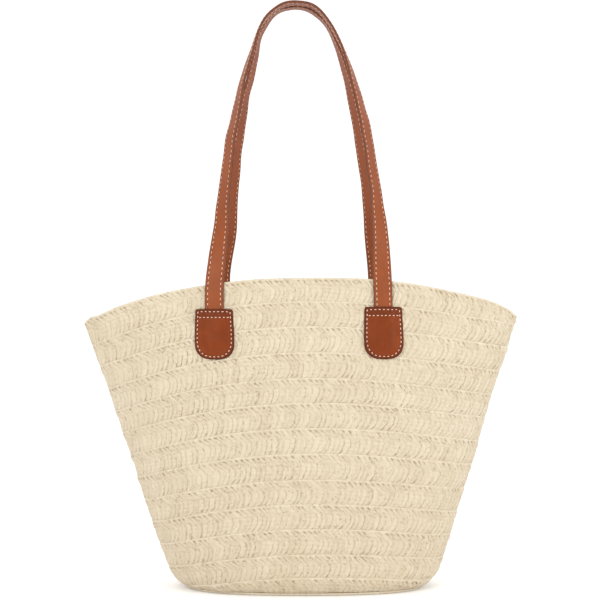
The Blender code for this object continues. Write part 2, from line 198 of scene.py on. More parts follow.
def row_line(n, a):
    """Height of row edge n (-1 to 11) at angles a. A turn runs from the left fold
    (pi) along the front to the right fold (2 pi) and back along the rear (3 pi)."""
    a = np.asarray(a, float)
    low, high = a < PI, a > 3 * PI
    if low.any() or high.any():
        out = np.empty_like(a)
        mid = ~(low | high)
        if mid.any():
            out[mid] = row_line(n, a[mid])
        if low.any():
            out[low] = row_line(n - 1, a[low] + 2 * PI) if n > -1 else row_line(-1, a[low] * 0 + PI)
        if high.any():
            out[high] = row_line(n + 1, a[high] - 2 * PI) if n < 11 else rim_made(a[high])
        return out
    zc, zc_next = ROW_LINES[n + 1], ROW_LINES[n + 2]
    z = np.full_like(a, zc)
    back = a > 2 * PI
    t = np.clip((a - 2 * PI) / PI, 0, 1)
    for _ in range(12):
        zz = np.clip(z, 0.0029, 0.315)
        hx, hy, full = section(zz)
        u = hx * np.sign(np.cos(a)) * np.abs(np.cos(a)) ** np.minimum(full, 1.0) / 0.204
        edge = hx / 0.204
        drop = 0.034 * u**2 - 0.003 * u**4
        rise = 0.0042 * u + 0.0064 * u**3
        corner = 0.0042 * edge + 0.0064 * edge**3
        rise_back = corner + (zc_next - zc - 2 * corner) * t
        z = zc - drop + np.where(back, rise_back, rise)
    return z


# --------------------------------------------------------------- small helpers
def noise1(x, seed, octaves=3):
    """Smooth seeded noise of one variable, about -1 to 1."""
    rng = np.random.default_rng(seed)
    out = np.zeros_like(np.asarray(x, float))
    for k in range(octaves):
        f = 2.0**k
        for _ in range(3):
            out += np.sin(x * f * rng.uniform(0.7, 1.4) + rng.uniform(0, 2 * PI)) / (3 * 1.4**k)
    return out


def noise2(x, y, seed, octaves=3):
    rng = np.random.default_rng(seed)
    out = np.zeros(np.broadcast(x, y).shape)
    for k in range(octaves):
        f = 2.0**k
        for _ in range(4):
            t = rng.uniform(0, 2 * PI)
            g = f * rng.uniform(0.7, 1.3)
            out += np.sin(g * (x * math.cos(t) + y * math.sin(t)) + rng.uniform(0, 2 * PI)) / (3 * 1.5**k)
    return out


def smooth(e0, e1, x):
    t = np.clip((x - e0) / (e1 - e0), 0, 1)
    return t * t * (3 - 2 * t)


def grid_faces(rows, cols, start=0, flip=False, closed_cols=False, closed_rows=False):
    r = np.arange(rows if closed_rows else rows - 1)
    c = np.arange(cols if closed_cols else cols - 1)
    r, c = np.meshgrid(r, c, indexing="ij")
    r1, c1 = (r + 1) % rows, (c + 1) % cols
    q = np.stack([r * cols + c, r1 * cols + c, r1 * cols + c1, r * cols + c1], -1).reshape(-1, 4) + start
    return q[:, ::-1] if flip else q


def make(name, verts, faces, mats, face_mat=None, attrs=None, body=None, sharp=None, tilt=True):
    """One mesh object from arrays: faces is a list of (m, k) index arrays."""
    verts = lean(verts) if tilt else np.asarray(verts, float)
    faces = [np.asarray(f, dtype=np.int64) for f in faces if len(f)]
    # outward-facing: the signed volume of the closed mesh is positive
    vol = 0.0
    for f in faces:
        p0 = verts[f[:, 0]]
        for k in range(1, f.shape[1] - 1):
            vol += np.einsum("ij,ij->i", p0, np.cross(verts[f[:, k]], verts[f[:, k + 1]])).sum()
    if vol < 0:
        faces = [f[:, ::-1] for f in faces]
    loops = np.concatenate([f.reshape(-1) for f in faces]).astype(np.int32)
    sizes = np.concatenate([np.full(len(f), f.shape[1]) for f in faces])
    starts = np.concatenate([[0], np.cumsum(sizes)[:-1]]).astype(np.int32)
    me = bpy.data.meshes.new(name)
    me.vertices.add(len(verts))
    me.vertices.foreach_set("co", verts.astype(np.float32).ravel())
    me.loops.add(len(loops))
    me.loops.foreach_set("vertex_index", loops)
    me.polygons.add(len(sizes))
    me.polygons.foreach_set("loop_start", starts)
    for m in mats:
        me.materials.append(m)
    me.update(calc_edges=True)
    if face_mat is not None:
        me.polygons.foreach_set("material_index", np.asarray(face_mat, dtype=np.int32))
    me.shade_smooth()
    if sharp:
        me.set_sharp_from_angle(angle=math.radians(sharp))
    for key, values in (attrs or {}).items():
        values = np.asarray(values, dtype=np.float32)
        kind = "FLOAT_VECTOR" if values.ndim == 2 else "FLOAT"
        layer = me.attributes.new(key, kind, "POINT")
        layer.data.foreach_set("vector" if values.ndim == 2 else "value", values.ravel())
    me.validate()
    obj = bpy.data.objects.new(name, me)
    bpy.context.scene.collection.objects.link(obj)
    if body:
        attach(obj, body)
    return obj


# -------------------------------------------------------------------- materials
class Shade:
    """A few shorthands for building node materials."""

    def __init__(self, name):
        self.mat = bpy.data.materials.new(name)
        self.mat.use_nodes = True
        self.tree = self.mat.node_tree
        self.nodes = self.tree.nodes
        self.bsdf = self.nodes["Principled BSDF"]

    def put(self, socket, value):
        if isinstance(value, bpy.types.NodeSocket):
            self.tree.links.new(value, socket)
        elif value is not None:
            if socket.type == "RGBA" and len(value) == 3:
                value = (*value, 1.0)
            socket.default_value = value
        return socket

    def node(self, kind, **inputs):
        n = self.nodes.new(kind)
        for k, v in inputs.items():
            if k in n.inputs:
                self.put(n.inputs[k], v)
            elif k.replace("_", " ") in n.inputs:
                self.put(n.inputs[k.replace("_", " ")], v)
            else:
                setattr(n, k, v)
        return n

    def attr(self, name, vector=False):
        n = self.node("ShaderNodeAttribute", attribute_name=name)
        return n.outputs["Vector" if vector else "Fac"]

    def place(self):
        return self.node("ShaderNodeTexCoord").outputs["Object"]

    def math(self, op, a, b=0.0, c=None, clamp=False):
        n = self.nodes.new("ShaderNodeMath")
        n.operation = op
        n.use_clamp = clamp
        self.put(n.inputs[0], a)
        self.put(n.inputs[1], b)
        if c is not None:
            self.put(n.inputs[2], c)
        return n.outputs[0]

    def noise(self, vector, scale, detail=3.0, rough=0.55, distortion=0.0):
        n = self.node("ShaderNodeTexNoise", Scale=scale, Detail=detail, Roughness=rough,
                      Distortion=distortion)
        self.put(n.inputs["Vector"], vector)
        return n.outputs["Fac"]

    def voronoi(self, vector, scale, feature="F1", randomness=1.0):
        n = self.nodes.new("ShaderNodeTexVoronoi")
        n.feature = feature
        self.put(n.inputs["Vector"], vector)
        n.inputs["Scale"].default_value = scale
        n.inputs["Randomness"].default_value = randomness
        return n.outputs["Distance"]

    def scaled(self, vector, scale):
        n = self.nodes.new("ShaderNodeMapping")
        self.put(n.inputs["Vector"], vector)
        n.inputs["Scale"].default_value = scale
        return n.outputs["Vector"]

    def wave(self, vector, scale, direction="X", distortion=0.0):
        n = self.nodes.new("ShaderNodeTexWave")
        n.bands_direction = direction
        self.put(n.inputs["Vector"], vector)
        n.inputs["Scale"].default_value = scale
        n.inputs["Distortion"].default_value = distortion
        n.inputs["Detail"].default_value = 1.0
        return n.outputs["Fac"]

    def ramp(self, fac, stops):
        n = self.nodes.new("ShaderNodeValToRGB")
        el = n.color_ramp.elements
        while len(el) < len(stops):
            el.new(0.5)
        for e, (pos, colour) in zip(el, stops):
            e.position = pos
            e.color = (*colour, 1.0)
        self.put(n.inputs["Fac"], fac)
        return n.outputs["Color"]

    def mix(self, fac, a, b, mode="MIX"):
        n = self.nodes.new("ShaderNodeMix")
        n.data_type = "RGBA"
        n.blend_type = mode
        self.put(n.inputs[0], fac)
        self.put(n.inputs[6], a)
        self.put(n.inputs[7], b)
        return n.outputs[2]

    def remap(self, value, a, b, c, d):
        n = self.nodes.new("ShaderNodeMapRange")
        n.clamp = True
        self.put(n.inputs["Value"], value)
        for k, v in (("From Min", a), ("From Max", b), ("To Min", c), ("To Max", d)):
            n.inputs[k].default_value = v
        return n.outputs["Result"]

    def bump(self, height, strength, distance, normal=None):
        n = self.nodes.new("ShaderNodeBump")
        self.put(n.inputs["Height"], height)
        n.inputs["Strength"].default_value = strength
        n.inputs["Distance"].default_value = distance
        if normal is not None:
            self.put(n.inputs["Normal"], normal)
        return n.outputs["Normal"]

    def surface(self, colour, rough, normal=None, **fixed):
        self.put(self.bsdf.inputs["Base Color"], colour)
        self.put(self.bsdf.inputs["Roughness"], rough)
        if normal is not None:
            self.put(self.bsdf.inputs["Normal"], normal)
        for k, v in fixed.items():
            self.bsdf.inputs[k.replace("_", " ")].default_value = v
        return self.mat


def srgb(r, g, b, gain=1.0):
    out = []
    for c in (r, g, b):
        c = c / 255.0
        out.append((c / 12.92 if c <= 0.04045 else ((c + 0.055) / 1.055) ** 2.4) * gain)
    return tuple(out)


def straw_material(name, gain=1.0):
    s = Shade(name)
    lay = s.attr("lay", vector=True)
    hollow = s.attr("hollow")
    tint = s.attr("tint")
    where = s.place()
    # fibres run along each strand: stretched noise in the strand's own directions
    fibre = s.noise(s.scaled(lay, (1.0, 0.045, 1.0)), 2600.0, 3.0, 0.6)
    crease = s.noise(s.scaled(lay, (1.0, 0.22, 1.0)), 560.0, 3.0, 0.6)
    cloud = s.noise(where, 22.0, 3.0, 0.6)
    fac = s.math("MULTIPLY_ADD", tint, 0.15, 0.56)
    fac = s.math("ADD", fac, s.math("MULTIPLY_ADD", fibre, 0.34, -0.17))
    fac = s.math("ADD", fac, s.math("MULTIPLY_ADD", crease, 0.62, -0.31))
    fac = s.math("ADD", fac, s.math("MULTIPLY_ADD", cloud, 0.36, -0.18), clamp=True)
    colour = s.ramp(fac, ((0.0, srgb(199, 179, 146, gain)), (0.35, srgb(222, 205, 174, gain)),
                          (0.65, srgb(234, 219, 191, gain)), (1.0, srgb(245, 234, 210, gain))))
    # painted shade: stray dark specks where strands part, and the hollow attribute's darkening in the gaps between
    # strands
    specks = s.remap(s.voronoi(where, 400.0), 0.12, 0.42, 1.0, 0.0)
    specks = s.math("MULTIPLY", specks, s.remap(s.noise(where, 150.0, 2.0, 0.5), 0.44, 0.60, 0.0, 1.0))
    depth = s.math("MULTIPLY_ADD", specks, 0.55, s.math("MULTIPLY", hollow, 0.64), clamp=True)
    colour = s.mix(depth, colour, srgb(160, 134, 100, gain))
    # lower rows are a touch pinker
    low = s.nodes.new("ShaderNodeSeparateXYZ")
    s.put(low.inputs[0], where)
    colour = s.mix(s.remap(low.outputs["Z"], 0.0, 0.16, 0.45, 0.0), colour,
                   (0.985, 0.955, 0.93), mode="MULTIPLY")
    rough = s.remap(fibre, 0.3, 0.7, 0.50, 0.70)
    n = s.bump(fibre, 0.45, 0.00022)
    n = s.bump(crease, 0.55, 0.0006, n)
    return s.surface(colour, rough, n, Specular_IOR_Level=0.42, Sheen_Weight=0.06,
                     Sheen_Roughness=0.5)


def leather_material(name, main, light, dark, gain=1.0, rough=(0.40, 0.56), grain=1.0, spec=0.22, cloudy=0.9):
    s = Shade(name)
    where = s.place()
    rub = s.attr("rub")           # 1 on the margins, which are burnished darker; 0.42 on a tab's strip above its bar stitch, darkened there as painted shade
    dent = s.attr("dent")         # 1 in the stitch groove, darkened there as painted shade
    cloud = s.noise(where, 38.0, 4.0, 0.62)
    mottle = s.noise(where, 240.0, 3.0, 0.6)
    fac = s.math("ADD", s.math("MULTIPLY_ADD", cloud, cloudy, 0.25 - 0.5 * cloudy),
                 s.math("MULTIPLY_ADD", mottle, 0.5, -0.25), clamp=True)
    colour = s.ramp(fac, ((0.0, srgb(*main, gain * 0.82)), (0.45, srgb(*main, gain)),
                          (1.0, srgb(*light, gain))))
    # burnished margins, and painted shade on a tab's strip above its bar stitch
    colour = s.mix(s.math("MULTIPLY", rub, 0.9), colour, srgb(*dark, gain))
    # painted shade in the stitch groove
    colour = s.mix(s.math("MULTIPLY", dent, 0.45), colour, srgb(*dark, gain * 0.8))
    cells = s.voronoi(where, 1500.0)
    fine = s.noise(where, 3200.0, 2.0, 0.6)
    wrinkle = s.noise(where, 520.0, 3.0, 0.65)
    height = s.math("ADD", s.math("MULTIPLY", cells, 0.6), s.math("MULTIPLY", wrinkle, 0.7))
    n = s.bump(height, 0.42 * grain, 0.00035)
    n = s.bump(fine, 0.22 * grain, 0.00012, n)
    shine = s.math("ADD", s.remap(mottle, 0.3, 0.7, rough[0], rough[1]),
                   s.math("MULTIPLY", dent, 0.08))
    return s.surface(colour, shine, n, Specular_IOR_Level=spec, Coat_Weight=0.06,
                     Coat_Roughness=0.30)


def edge_paint_material(name, gain=1.0):
    s = Shade(name)
    where = s.place()
    a = s.noise(where, 420.0, 3.0, 0.6)
    colour = s.ramp(a, ((0.3, srgb(84, 42, 20, gain)), (0.7, srgb(118, 62, 34, gain))))
    return s.surface(colour, s.remap(a, 0.3, 0.7, 0.34, 0.5), s.bump(a, 0.3, 0.0003),
                     Specular_IOR_Level=0.3)


def thread_material(name, light, dark, gain=1.0):
    s = Shade(name)
    lay = s.attr("lay", vector=True)
    twist = s.wave(lay, 900.0, "DIAGONAL", 0.6)
    fuzz = s.noise(s.place(), 5200.0, 2.0, 0.6)
    fac = s.math("ADD", s.math("MULTIPLY", twist, 0.65), s.math("MULTIPLY", fuzz, 0.35))
    colour = s.ramp(fac, ((0.15, srgb(*dark, gain)), (0.75, srgb(*light, gain))))
    return s.surface(colour, s.remap(fuzz, 0.2, 0.8, 0.55, 0.75), s.bump(fac, 0.6, 0.00012),
                     Specular_IOR_Level=0.35, Sheen_Weight=0.15)


def cloth_material(name, gain=1.0):
    s = Shade(name)
    lay = s.attr("lay", vector=True)
    warp = s.wave(lay, 260.0, "X", 0.8)
    weft = s.wave(lay, 260.0, "Y", 0.8)
    slub = s.noise(s.scaled(lay, (1.0, 0.12, 1.0)), 420.0, 3.0, 0.6)
    slub2 = s.noise(s.scaled(lay, (0.12, 1.0, 1.0)), 420.0, 3.0, 0.6)
    weave = s.math("MAXIMUM", warp, weft)
    fac = s.math("ADD", s.math("MULTIPLY", weave, 0.45),
                 s.math("ADD", s.math("MULTIPLY", slub, 0.3), s.math("MULTIPLY", slub2, 0.3)), clamp=True)
    colour = s.ramp(fac, ((0.2, srgb(176, 158, 132, gain)), (0.6, srgb(208, 193, 168, gain)),
                          (1.0, srgb(224, 212, 190, gain))))
    return s.surface(colour, s.remap(slub, 0.3, 0.7, 0.74, 0.9), s.bump(fac, 0.5, 0.00035),
                     Specular_IOR_Level=0.25, Sheen_Weight=0.2, Sheen_Roughness=0.6)


def metal_material(name, gain=1.0):
    s = Shade(name)
    where = s.place()
    scratch = s.noise(s.scaled(where, (1.0, 1.0, 14.0)), 520.0, 3.0, 0.6)
    spots = s.noise(where, 900.0, 3.0, 0.6)
    colour = s.ramp(spots, ((0.3, (0.52, 0.39, 0.20)), (0.7, (0.72, 0.56, 0.31))))
    return s.surface(colour, s.remap(scratch, 0.3, 0.7, 0.20, 0.38), s.bump(scratch, 0.12, 0.0001),
                     Metallic=1.0)


STRAW_GAIN = 0.70
straw = straw_material("straw_plait", STRAW_GAIN)
tab_leather = leather_material("tab_leather", (120, 50, 8), (152, 78, 36), (74, 29, 8), 1.0,
                               spec=0.13, cloudy=1.7)
strap_leather = leather_material("strap_leather", (138, 68, 28), (158, 86, 46), (98, 46, 20), 1.0)
paint = edge_paint_material("edge_paint", 1.0)
tab_thread = thread_material("tab_thread", (242, 206, 182), (204, 152, 124), 0.95)
strap_thread = thread_material("strap_thread", (238, 206, 182), (196, 150, 120), 0.92)
cloth = cloth_material("lining_cloth", 0.9)
brass = metal_material("aged_brass")

# ---------------------------------------------------------------- straw wall
V_ROWS = np.array([0.0, 0.010, 0.022, 0.035, 0.048, 0.060, 0.072, 0.086]
                  + list(np.linspace(0.112, 1.08, 32)))
FOOT = WALL_FOOT + 0.0004


def unit_random(index, seed):
    """Seeded numbers in -1..1 for whole-number indexes."""
    x = np.sin(index * 12.9898 + seed * 78.233) * 43758.5453
    return 2 * (x - np.floor(x)) - 1


def strand_shift(v, bend=1.0):
    """How far a strand has wandered along the row by the share v down it."""
    top = np.clip(v - 0.08, 0, 0.32) * 0.72
    d = np.clip(v - 0.40, 0, None)
    soft = 0.020 * np.exp(-((v - 0.40) / 0.06) ** 2)
    return (top - soft + 0.16 * d - 0.76 * d * d) * ROW * bend


def wriggle(sigma, v):
    """Strands don't lie true: each snakes a little on its way down the row."""
    amount = 0.00042 * smooth(0.05, 0.16, v) * (1 - smooth(0.96, 1.04, v))
    return amount * noise2(sigma * 4.2, v * 19.0, 51, 2)


def plait(sigma, v, row):
    """Height of the plait's outer face over its ground, with its shading values."""
    up_id = np.floor(sigma)
    low_id = np.floor(sigma + 0.5)
    pu = sigma - up_id
    pl = sigma + 0.5 - low_id
    ru = unit_random(up_id + 1000 * row, 1.7)
    rl = unit_random(low_id + 1000 * row, 3.1)
    ru2 = unit_random(up_id + 1000 * row, 5.9)
    rl2 = unit_random(low_id + 1000 * row, 7.3)
    rl3 = unit_random(low_id + 1000 * row, 4.7)
    # the gaps between strands have their own chance of standing open, which only deepens their painted shade
    open_u = 0.5 + 0.5 * unit_random(np.round(sigma) + 1000 * row, 8.3)
    open_l = 0.5 + 0.5 * unit_random(np.round(sigma + 0.5) + 1000 * row, 6.1)

    def lobe(p, mid, half, r, tilt, crease):
        q = np.abs(2 * p - 1)
        w = np.abs((v - mid) / half)
        dome = np.clip(1 - q**2.2 - w**3.6, 0, None) ** 0.7
        ends = np.clip(1 - w**4, 0, None)
        side = 1 + tilt * (p - 0.5)
        fold = 1 - crease * np.exp(-((p - 0.5) / 0.14) ** 2)
        return (0.72 * dome * side * fold + 0.28 * ends) * (1 + 0.22 * r)
    hu = 0.00105 * lobe(pu, 0.235 + 0.030 * ru2, 0.190 + 0.030 * ru, ru, 0.8, 0.0)
    hl = 0.00112 * lobe(pl, 0.710 + 0.020 * rl2, 0.365 + 0.035 * rl3, rl, -0.6, 0.10 + 0.12 * rl2)
    wave = noise1(sigma * 1.9 + row * 7.0, 5, 2)
    slow = noise1(sigma * 0.23 + row * 3.0, 6, 2)
    cord = np.sqrt(np.clip(1 - ((v - 0.034) / (0.036 + 0.006 * wave)) ** 2, 0, None))
    hc = 0.00060 * cord * (1 + 0.18 * wave + 0.14 * np.cos(4 * PI * sigma))
    h = np.maximum(np.maximum(hu, hl), hc)
    grit = noise2(sigma * PITCH * 2300.0, v * ROW * 1500.0, 31 + row, 2)
    broken = np.clip(0.72 + 1.05 * noise2(sigma * 5.0, v * 31.0, 71 + row, 2), 0.0, 1.7)
    h = h + 0.00012 * grit * smooth(0.06, 0.12, v)
    # shading: how deep a point lies between strands; the slanting upper gaps are the darkest
    gap_u = np.clip(1 - hu / 0.00085, 0, 1) * np.exp(-((v - 0.20) / 0.13) ** 4)
    gap_l = np.clip(1 - hl / 0.00088, 0, 1) * smooth(0.34, 0.48, v)
    near_u = (pu - np.round(pu))
    near_l = (pl - np.round(pl))
    dot_u = np.exp(-((v - 0.135 - 0.03 * ru2) / 0.042) ** 2 - (near_u / 0.19) ** 2) * smooth(0.0, 0.7, open_u)
    dot_u = dot_u + 0.7 * np.exp(-((v - 0.29 - 0.05 * rl2) / 0.035) ** 2 - (near_l / 0.17) ** 2) * smooth(0.3, 0.9, open_l)
    foot_l = np.exp(-((v - 0.91) / 0.060) ** 2 - (near_l / 0.15) ** 2) * smooth(0.2, 1.0, open_l)
    hollow = np.maximum(gap_u * (0.30 + 0.55 * open_u), gap_l * (0.22 + 0.62 * open_l))
    hollow = np.maximum(hollow * broken, np.maximum(1.5 * dot_u, 1.3 * foot_l))
    hollow = hollow * (1 - np.clip(cord * 1.6, 0, 1)) * (1 + 0.30 * slow) * (1 + 0.30 * grit)
    tint = np.where(hl > hu, rl, ru) * 0.5 + 0.75 * grit
    tint = np.where(cord > 0.25, 1.35 + 0.7 * wave, tint)
    return h, np.clip(hollow, 0, 1.4), tint


def wander(a, z):
    """The soft wall isn't true: shallow dents and swells."""
    return 0.0007 * noise2(a * 3.1, z * 38.0, 11) + 0.0004 * noise2(a * 9.0, z * 90.0, 12, 2)


def strip_table(k, a_lo, a_hi):
    """Angle by length along the middle of row k."""
    a = np.linspace(a_lo - 0.30, a_hi + 0.30, 6000)
    mid = 0.5 * (row_top(k, a) + np.maximum(row_low(k, a), FOOT))
    p = wall(a, np.clip(mid, FOOT, 0.315))
    s = np.concatenate([[0], np.cumsum(np.linalg.norm(np.diff(p[:, :2], axis=0), axis=1))])
    return a, s - np.interp(a_lo, a, s)


def rim_made(a):
    """The mouth's edge as it sits on this bag, a few millimetres off true."""
    x = np.cos(a) * np.interp(0.30, ZS, HALF_X)
    off = np.interp(x, (-0.219, -0.213, -0.208, -0.203, -0.198, -0.193, -0.188, -0.183, -0.179, -0.160, -0.140, -0.110, -0.075, -0.04, 0.0, 0.035,
                        0.060, 0.105, 0.150, 0.172, 0.188, 0.204, 0.212, 0.216, 0.222),
                    (0.0, -2.2, -3.0, -3.2, -3.3, -3.2, -3.0, -3.1, -3.2, -2.8, -1.9, -0.8, 0.9, 2.0, 2.2, 3.0,
                     3.7, 3.9, 3.0, 3.6, 5.0, 6.0, 6.3, 6.8, 6.4))
    return rim_height(a) + off * 0.001


def row_top(k, a):
    return row_line(k + 1, a) if k < 11 else rim_made(a)


def row_low(k, a):
    if k < 11:
        return row_line(k, a)
    return row_line(11, a)


def straw_row(k, a_lo, a_hi, s_start):
    """One turn of the plait as one closed strip. Returns the length used."""
    table_a, table_s = strip_table(k, a_lo, a_hi)
    length = float(np.interp(a_hi, table_a, table_s))
    first = round(s_start / PITCH * STEPS)
    last = round((s_start + length) / PITCH * STEPS)
    # the end of each turn runs on a little way under the start of the next
    run_on = 0 if k == 11 else STEPS + 2
    sig = np.arange(first, last + run_on + 1) / STEPS
    sunk = smooth(0.0, 0.4, sig - last / STEPS)[None, :]
    dipped = 1.5 * (1 - smooth(0.0, 0.45, sig - first / STEPS))[None, :]
    sunk = sunk + dipped
    gap = np.floor(sig * 1.0)
    # uneven spacing: each strand edge sits a little off its place
    f = sig - gap
    jit = (unit_random(gap, 9.1) * (1 - f) + unit_random(gap + 1, 9.1) * f) * 0.20
    s0 = (sig + jit) * PITCH - s_start
    bend = 1 + 0.28 * noise1(sig * 0.31, 14, 3)[None, :]

    def lay_out(vrows):
        """Each column keeps to its strand, and the edges keep to the row lines."""
        f = (vrows[:, None] / vrows[-1]) + 0 * s0[None, :]
        v = f * 1.08
        for _ in range(4):
            a = np.interp(s0[None, :] + strand_shift(v, bend) + wriggle(sig[None, :], v), table_s, table_a)
            top, low = row_top(k, a), row_low(k, a)
            full = np.full_like(top, ROW) if k in (-1, 11) else np.maximum(top - low, 0.020)
            tuck = np.where(low > FOOT + 0.001, 0.075, 0.0) * ROW
            end = np.maximum(low, FOOT) - tuck
            z = top - f * np.maximum(top - end, 0.0004)
            v = (top - z) / full
        return v, a, np.clip(z, FOOT, 0.319), low - z

    v, a, z, under = lay_out(V_ROWS)
    sigma = np.broadcast_to(sig[None, :], v.shape)
    h, hollow, tint = plait(sigma, v, 2)
    hollow = hollow * (1 - np.clip(sunk, 0, 1))
    # the edge tucks in behind the top of the row beneath
    ground = 0.00020 - 0.00035 * v - 0.0010 * smooth(0.0001, 0.0013, under)
    # the outer face: the ground, the plait on it, and the wall's shallow dents
    out = ground + h + wander(a, z) * 1.0
    edge = smooth(0, 0.03, v)
    out = out - 0.0004 * (1 - edge) - 0.0006 * sunk * smooth(0.0, 0.12, v)
    n = wall_normal(a, z)
    outer = wall(a, z) + n * out[..., None]

    shown_inside = k >= 9
    vin = V_ROWS[::2] if shown_inside else np.array([0.0, 0.06, 0.16, 0.5, 1.08])
    vi, ai, zi, _ = lay_out(vin)
    inset = 0.00065 + 0.00145 * smooth(0.08, 0.22, vi)
    hollow_i = np.zeros_like(vi)
    tint_i = np.zeros_like(vi)
    if shown_inside:
        sig_i = np.broadcast_to(sig[None, :], vi.shape)
        hi, hollow_i, tint_i = plait(sig_i + 0.3, vi, 40)
        inset = inset + 0.35 * hi - 0.0004
        hollow_i = hollow_i * 0.8
        tint_i = np.clip(tint_i, -1, 0.8)
    inner = wall(ai, zi, inset) + wall_normal(ai, zi) * wander(ai, zi)[..., None]

    rows, cols = v.shape
    ri = len(vin)
    base = rows * cols
    verts = np.concatenate([outer.reshape(-1, 3), inner.reshape(-1, 3)])
    c = np.arange(cols - 1)
    last_o = (rows - 1) * cols
    last_i = base + (ri - 1) * cols
    top = np.stack([c, c + 1, base + c + 1, base + c], -1)
    low = np.stack([last_o + c, last_i + c, last_i + c + 1, last_o + c + 1], -1)
    start_cap = np.concatenate([base + np.arange(ri) * cols, (np.arange(rows) * cols)[::-1]])[None, :]
    end_cap = np.concatenate([np.arange(rows) * cols + cols - 1,
                              (base + np.arange(ri) * cols + cols - 1)[::-1]])[None, :]
    faces = [grid_faces(rows, cols), grid_faces(ri, cols, base, flip=True), top, low, start_cap, end_cap]

    across = np.concatenate([sigma.ravel(), np.broadcast_to(sig[None, :], vi.shape).ravel()]) * PITCH
    along = np.concatenate([v.ravel(), vi.ravel()]) * ROW
    level = np.full(len(across), (k + 2) * 0.05)
    attrs = {
        "lay": np.stack([across, along, level], -1),
        "hollow": np.concatenate([hollow.ravel(), hollow_i.ravel()]),
        "tint": np.concatenate([tint.ravel(), tint_i.ravel()]),
    }
    obj = make(f"straw_row_{k + 2:02d}", verts, faces, [straw], attrs=attrs, body="bag")
    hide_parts("straw_wall")
    return last / STEPS * PITCH


run = 0.0
probe = np.linspace(PI, 3 * PI, 4000)
start_a = float(probe[np.argmax(row_line(0, probe) > FOOT + 0.0012)])
for k in range(-1, 12):
    lo = start_a if k == -1 else PI
    hi = 2 * PI - 0.035 if k == 11 else 3 * PI
    run = straw_row(k, lo, hi, run)

# ---------------------------------------------------------------- straw base
def oval(t, hx, hy, power):
    c, s = np.cos(t), np.sin(t)
    return np.stack([hx * np.sign(c) * np.abs(c) ** power, hy * np.sign(s) * np.abs(s) ** power], -1)


def straw_base():
    cols = 480
    t = np.linspace(0, 2 * PI, cols, endpoint=False)
    edge = oval(t, BASE_LENGTH / 2 + 0.0008, BASE_DEPTH / 2 + 0.0008, 0.84)
    spine = np.stack([np.clip(edge[:, 0], -0.068, 0.068) * 0.98, np.zeros(cols)], -1)
    per = np.concatenate([[0], np.cumsum(np.linalg.norm(np.diff(edge, axis=0), axis=1))])
    rows_r = np.concatenate([np.linspace(0.0, 0.97, 52), [0.985, 0.995]])
    verts, lay, hollow, tint = [], [], [], []
    for r in rows_r:                       # underside, worked as two rings of the plait
        v = (1 - r) * 2 % 1.0
        ring = 0 if r > 0.5 else 1
        h, ho, ti = plait(per / PITCH * (0.45 + 0.55 * r), np.full(cols, min(v + 0.02, 1.0)), 60 + ring)
        p = spine * (1 - r) + edge * r
        verts.append(np.column_stack([p, 0.0011 - h * 0.8]))
        lay.append(np.column_stack([per, np.full(cols, r * 0.05), np.full(cols, 0.9)]))
        hollow.append(ho)
        tint.append(ti)
    bead = ((1.0, 0.0004), (1.006, 0.0009), (1.008, 0.0015), (1.006, 0.0021), (1.0, 0.0025),
            (0.97, 0.0027), (0.9, 0.0026), (0.5, 0.0026), (0.06, 0.0026))
    for r, z in bead:
        p = edge * r if r > 0.9 else spine * (1 - r) + edge * r
        wob = 0.00025 * np.sin(per / PITCH * 2 * PI)
        q = p * (1 + (wob / 0.1)[:, None] * (1 if r > 0.99 else 0))
        verts.append(np.column_stack([q, np.full(cols, z)]))
        lay.append(np.column_stack([per, np.full(cols, 0.06 + z), np.full(cols, 0.9)]))
        hollow.append(np.full(cols, 0.0))
        tint.append(np.full(cols, 0.9) + 0.5 * np.sin(per / PITCH * 2 * PI))
    rows = len(verts)
    v = np.concatenate(verts)
    faces = [grid_faces(rows, cols, closed_cols=True),
             np.arange(cols)[None, :], ((rows - 1) * cols + np.arange(cols))[None, ::-1]]
    obj = make("straw_base_coil", v, faces, [straw], body="bag", sharp=60,
               attrs={"lay": np.concatenate(lay), "hollow": np.concatenate(hollow),
                      "tint": np.concatenate(tint)})
    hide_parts("straw_base")


straw_base()


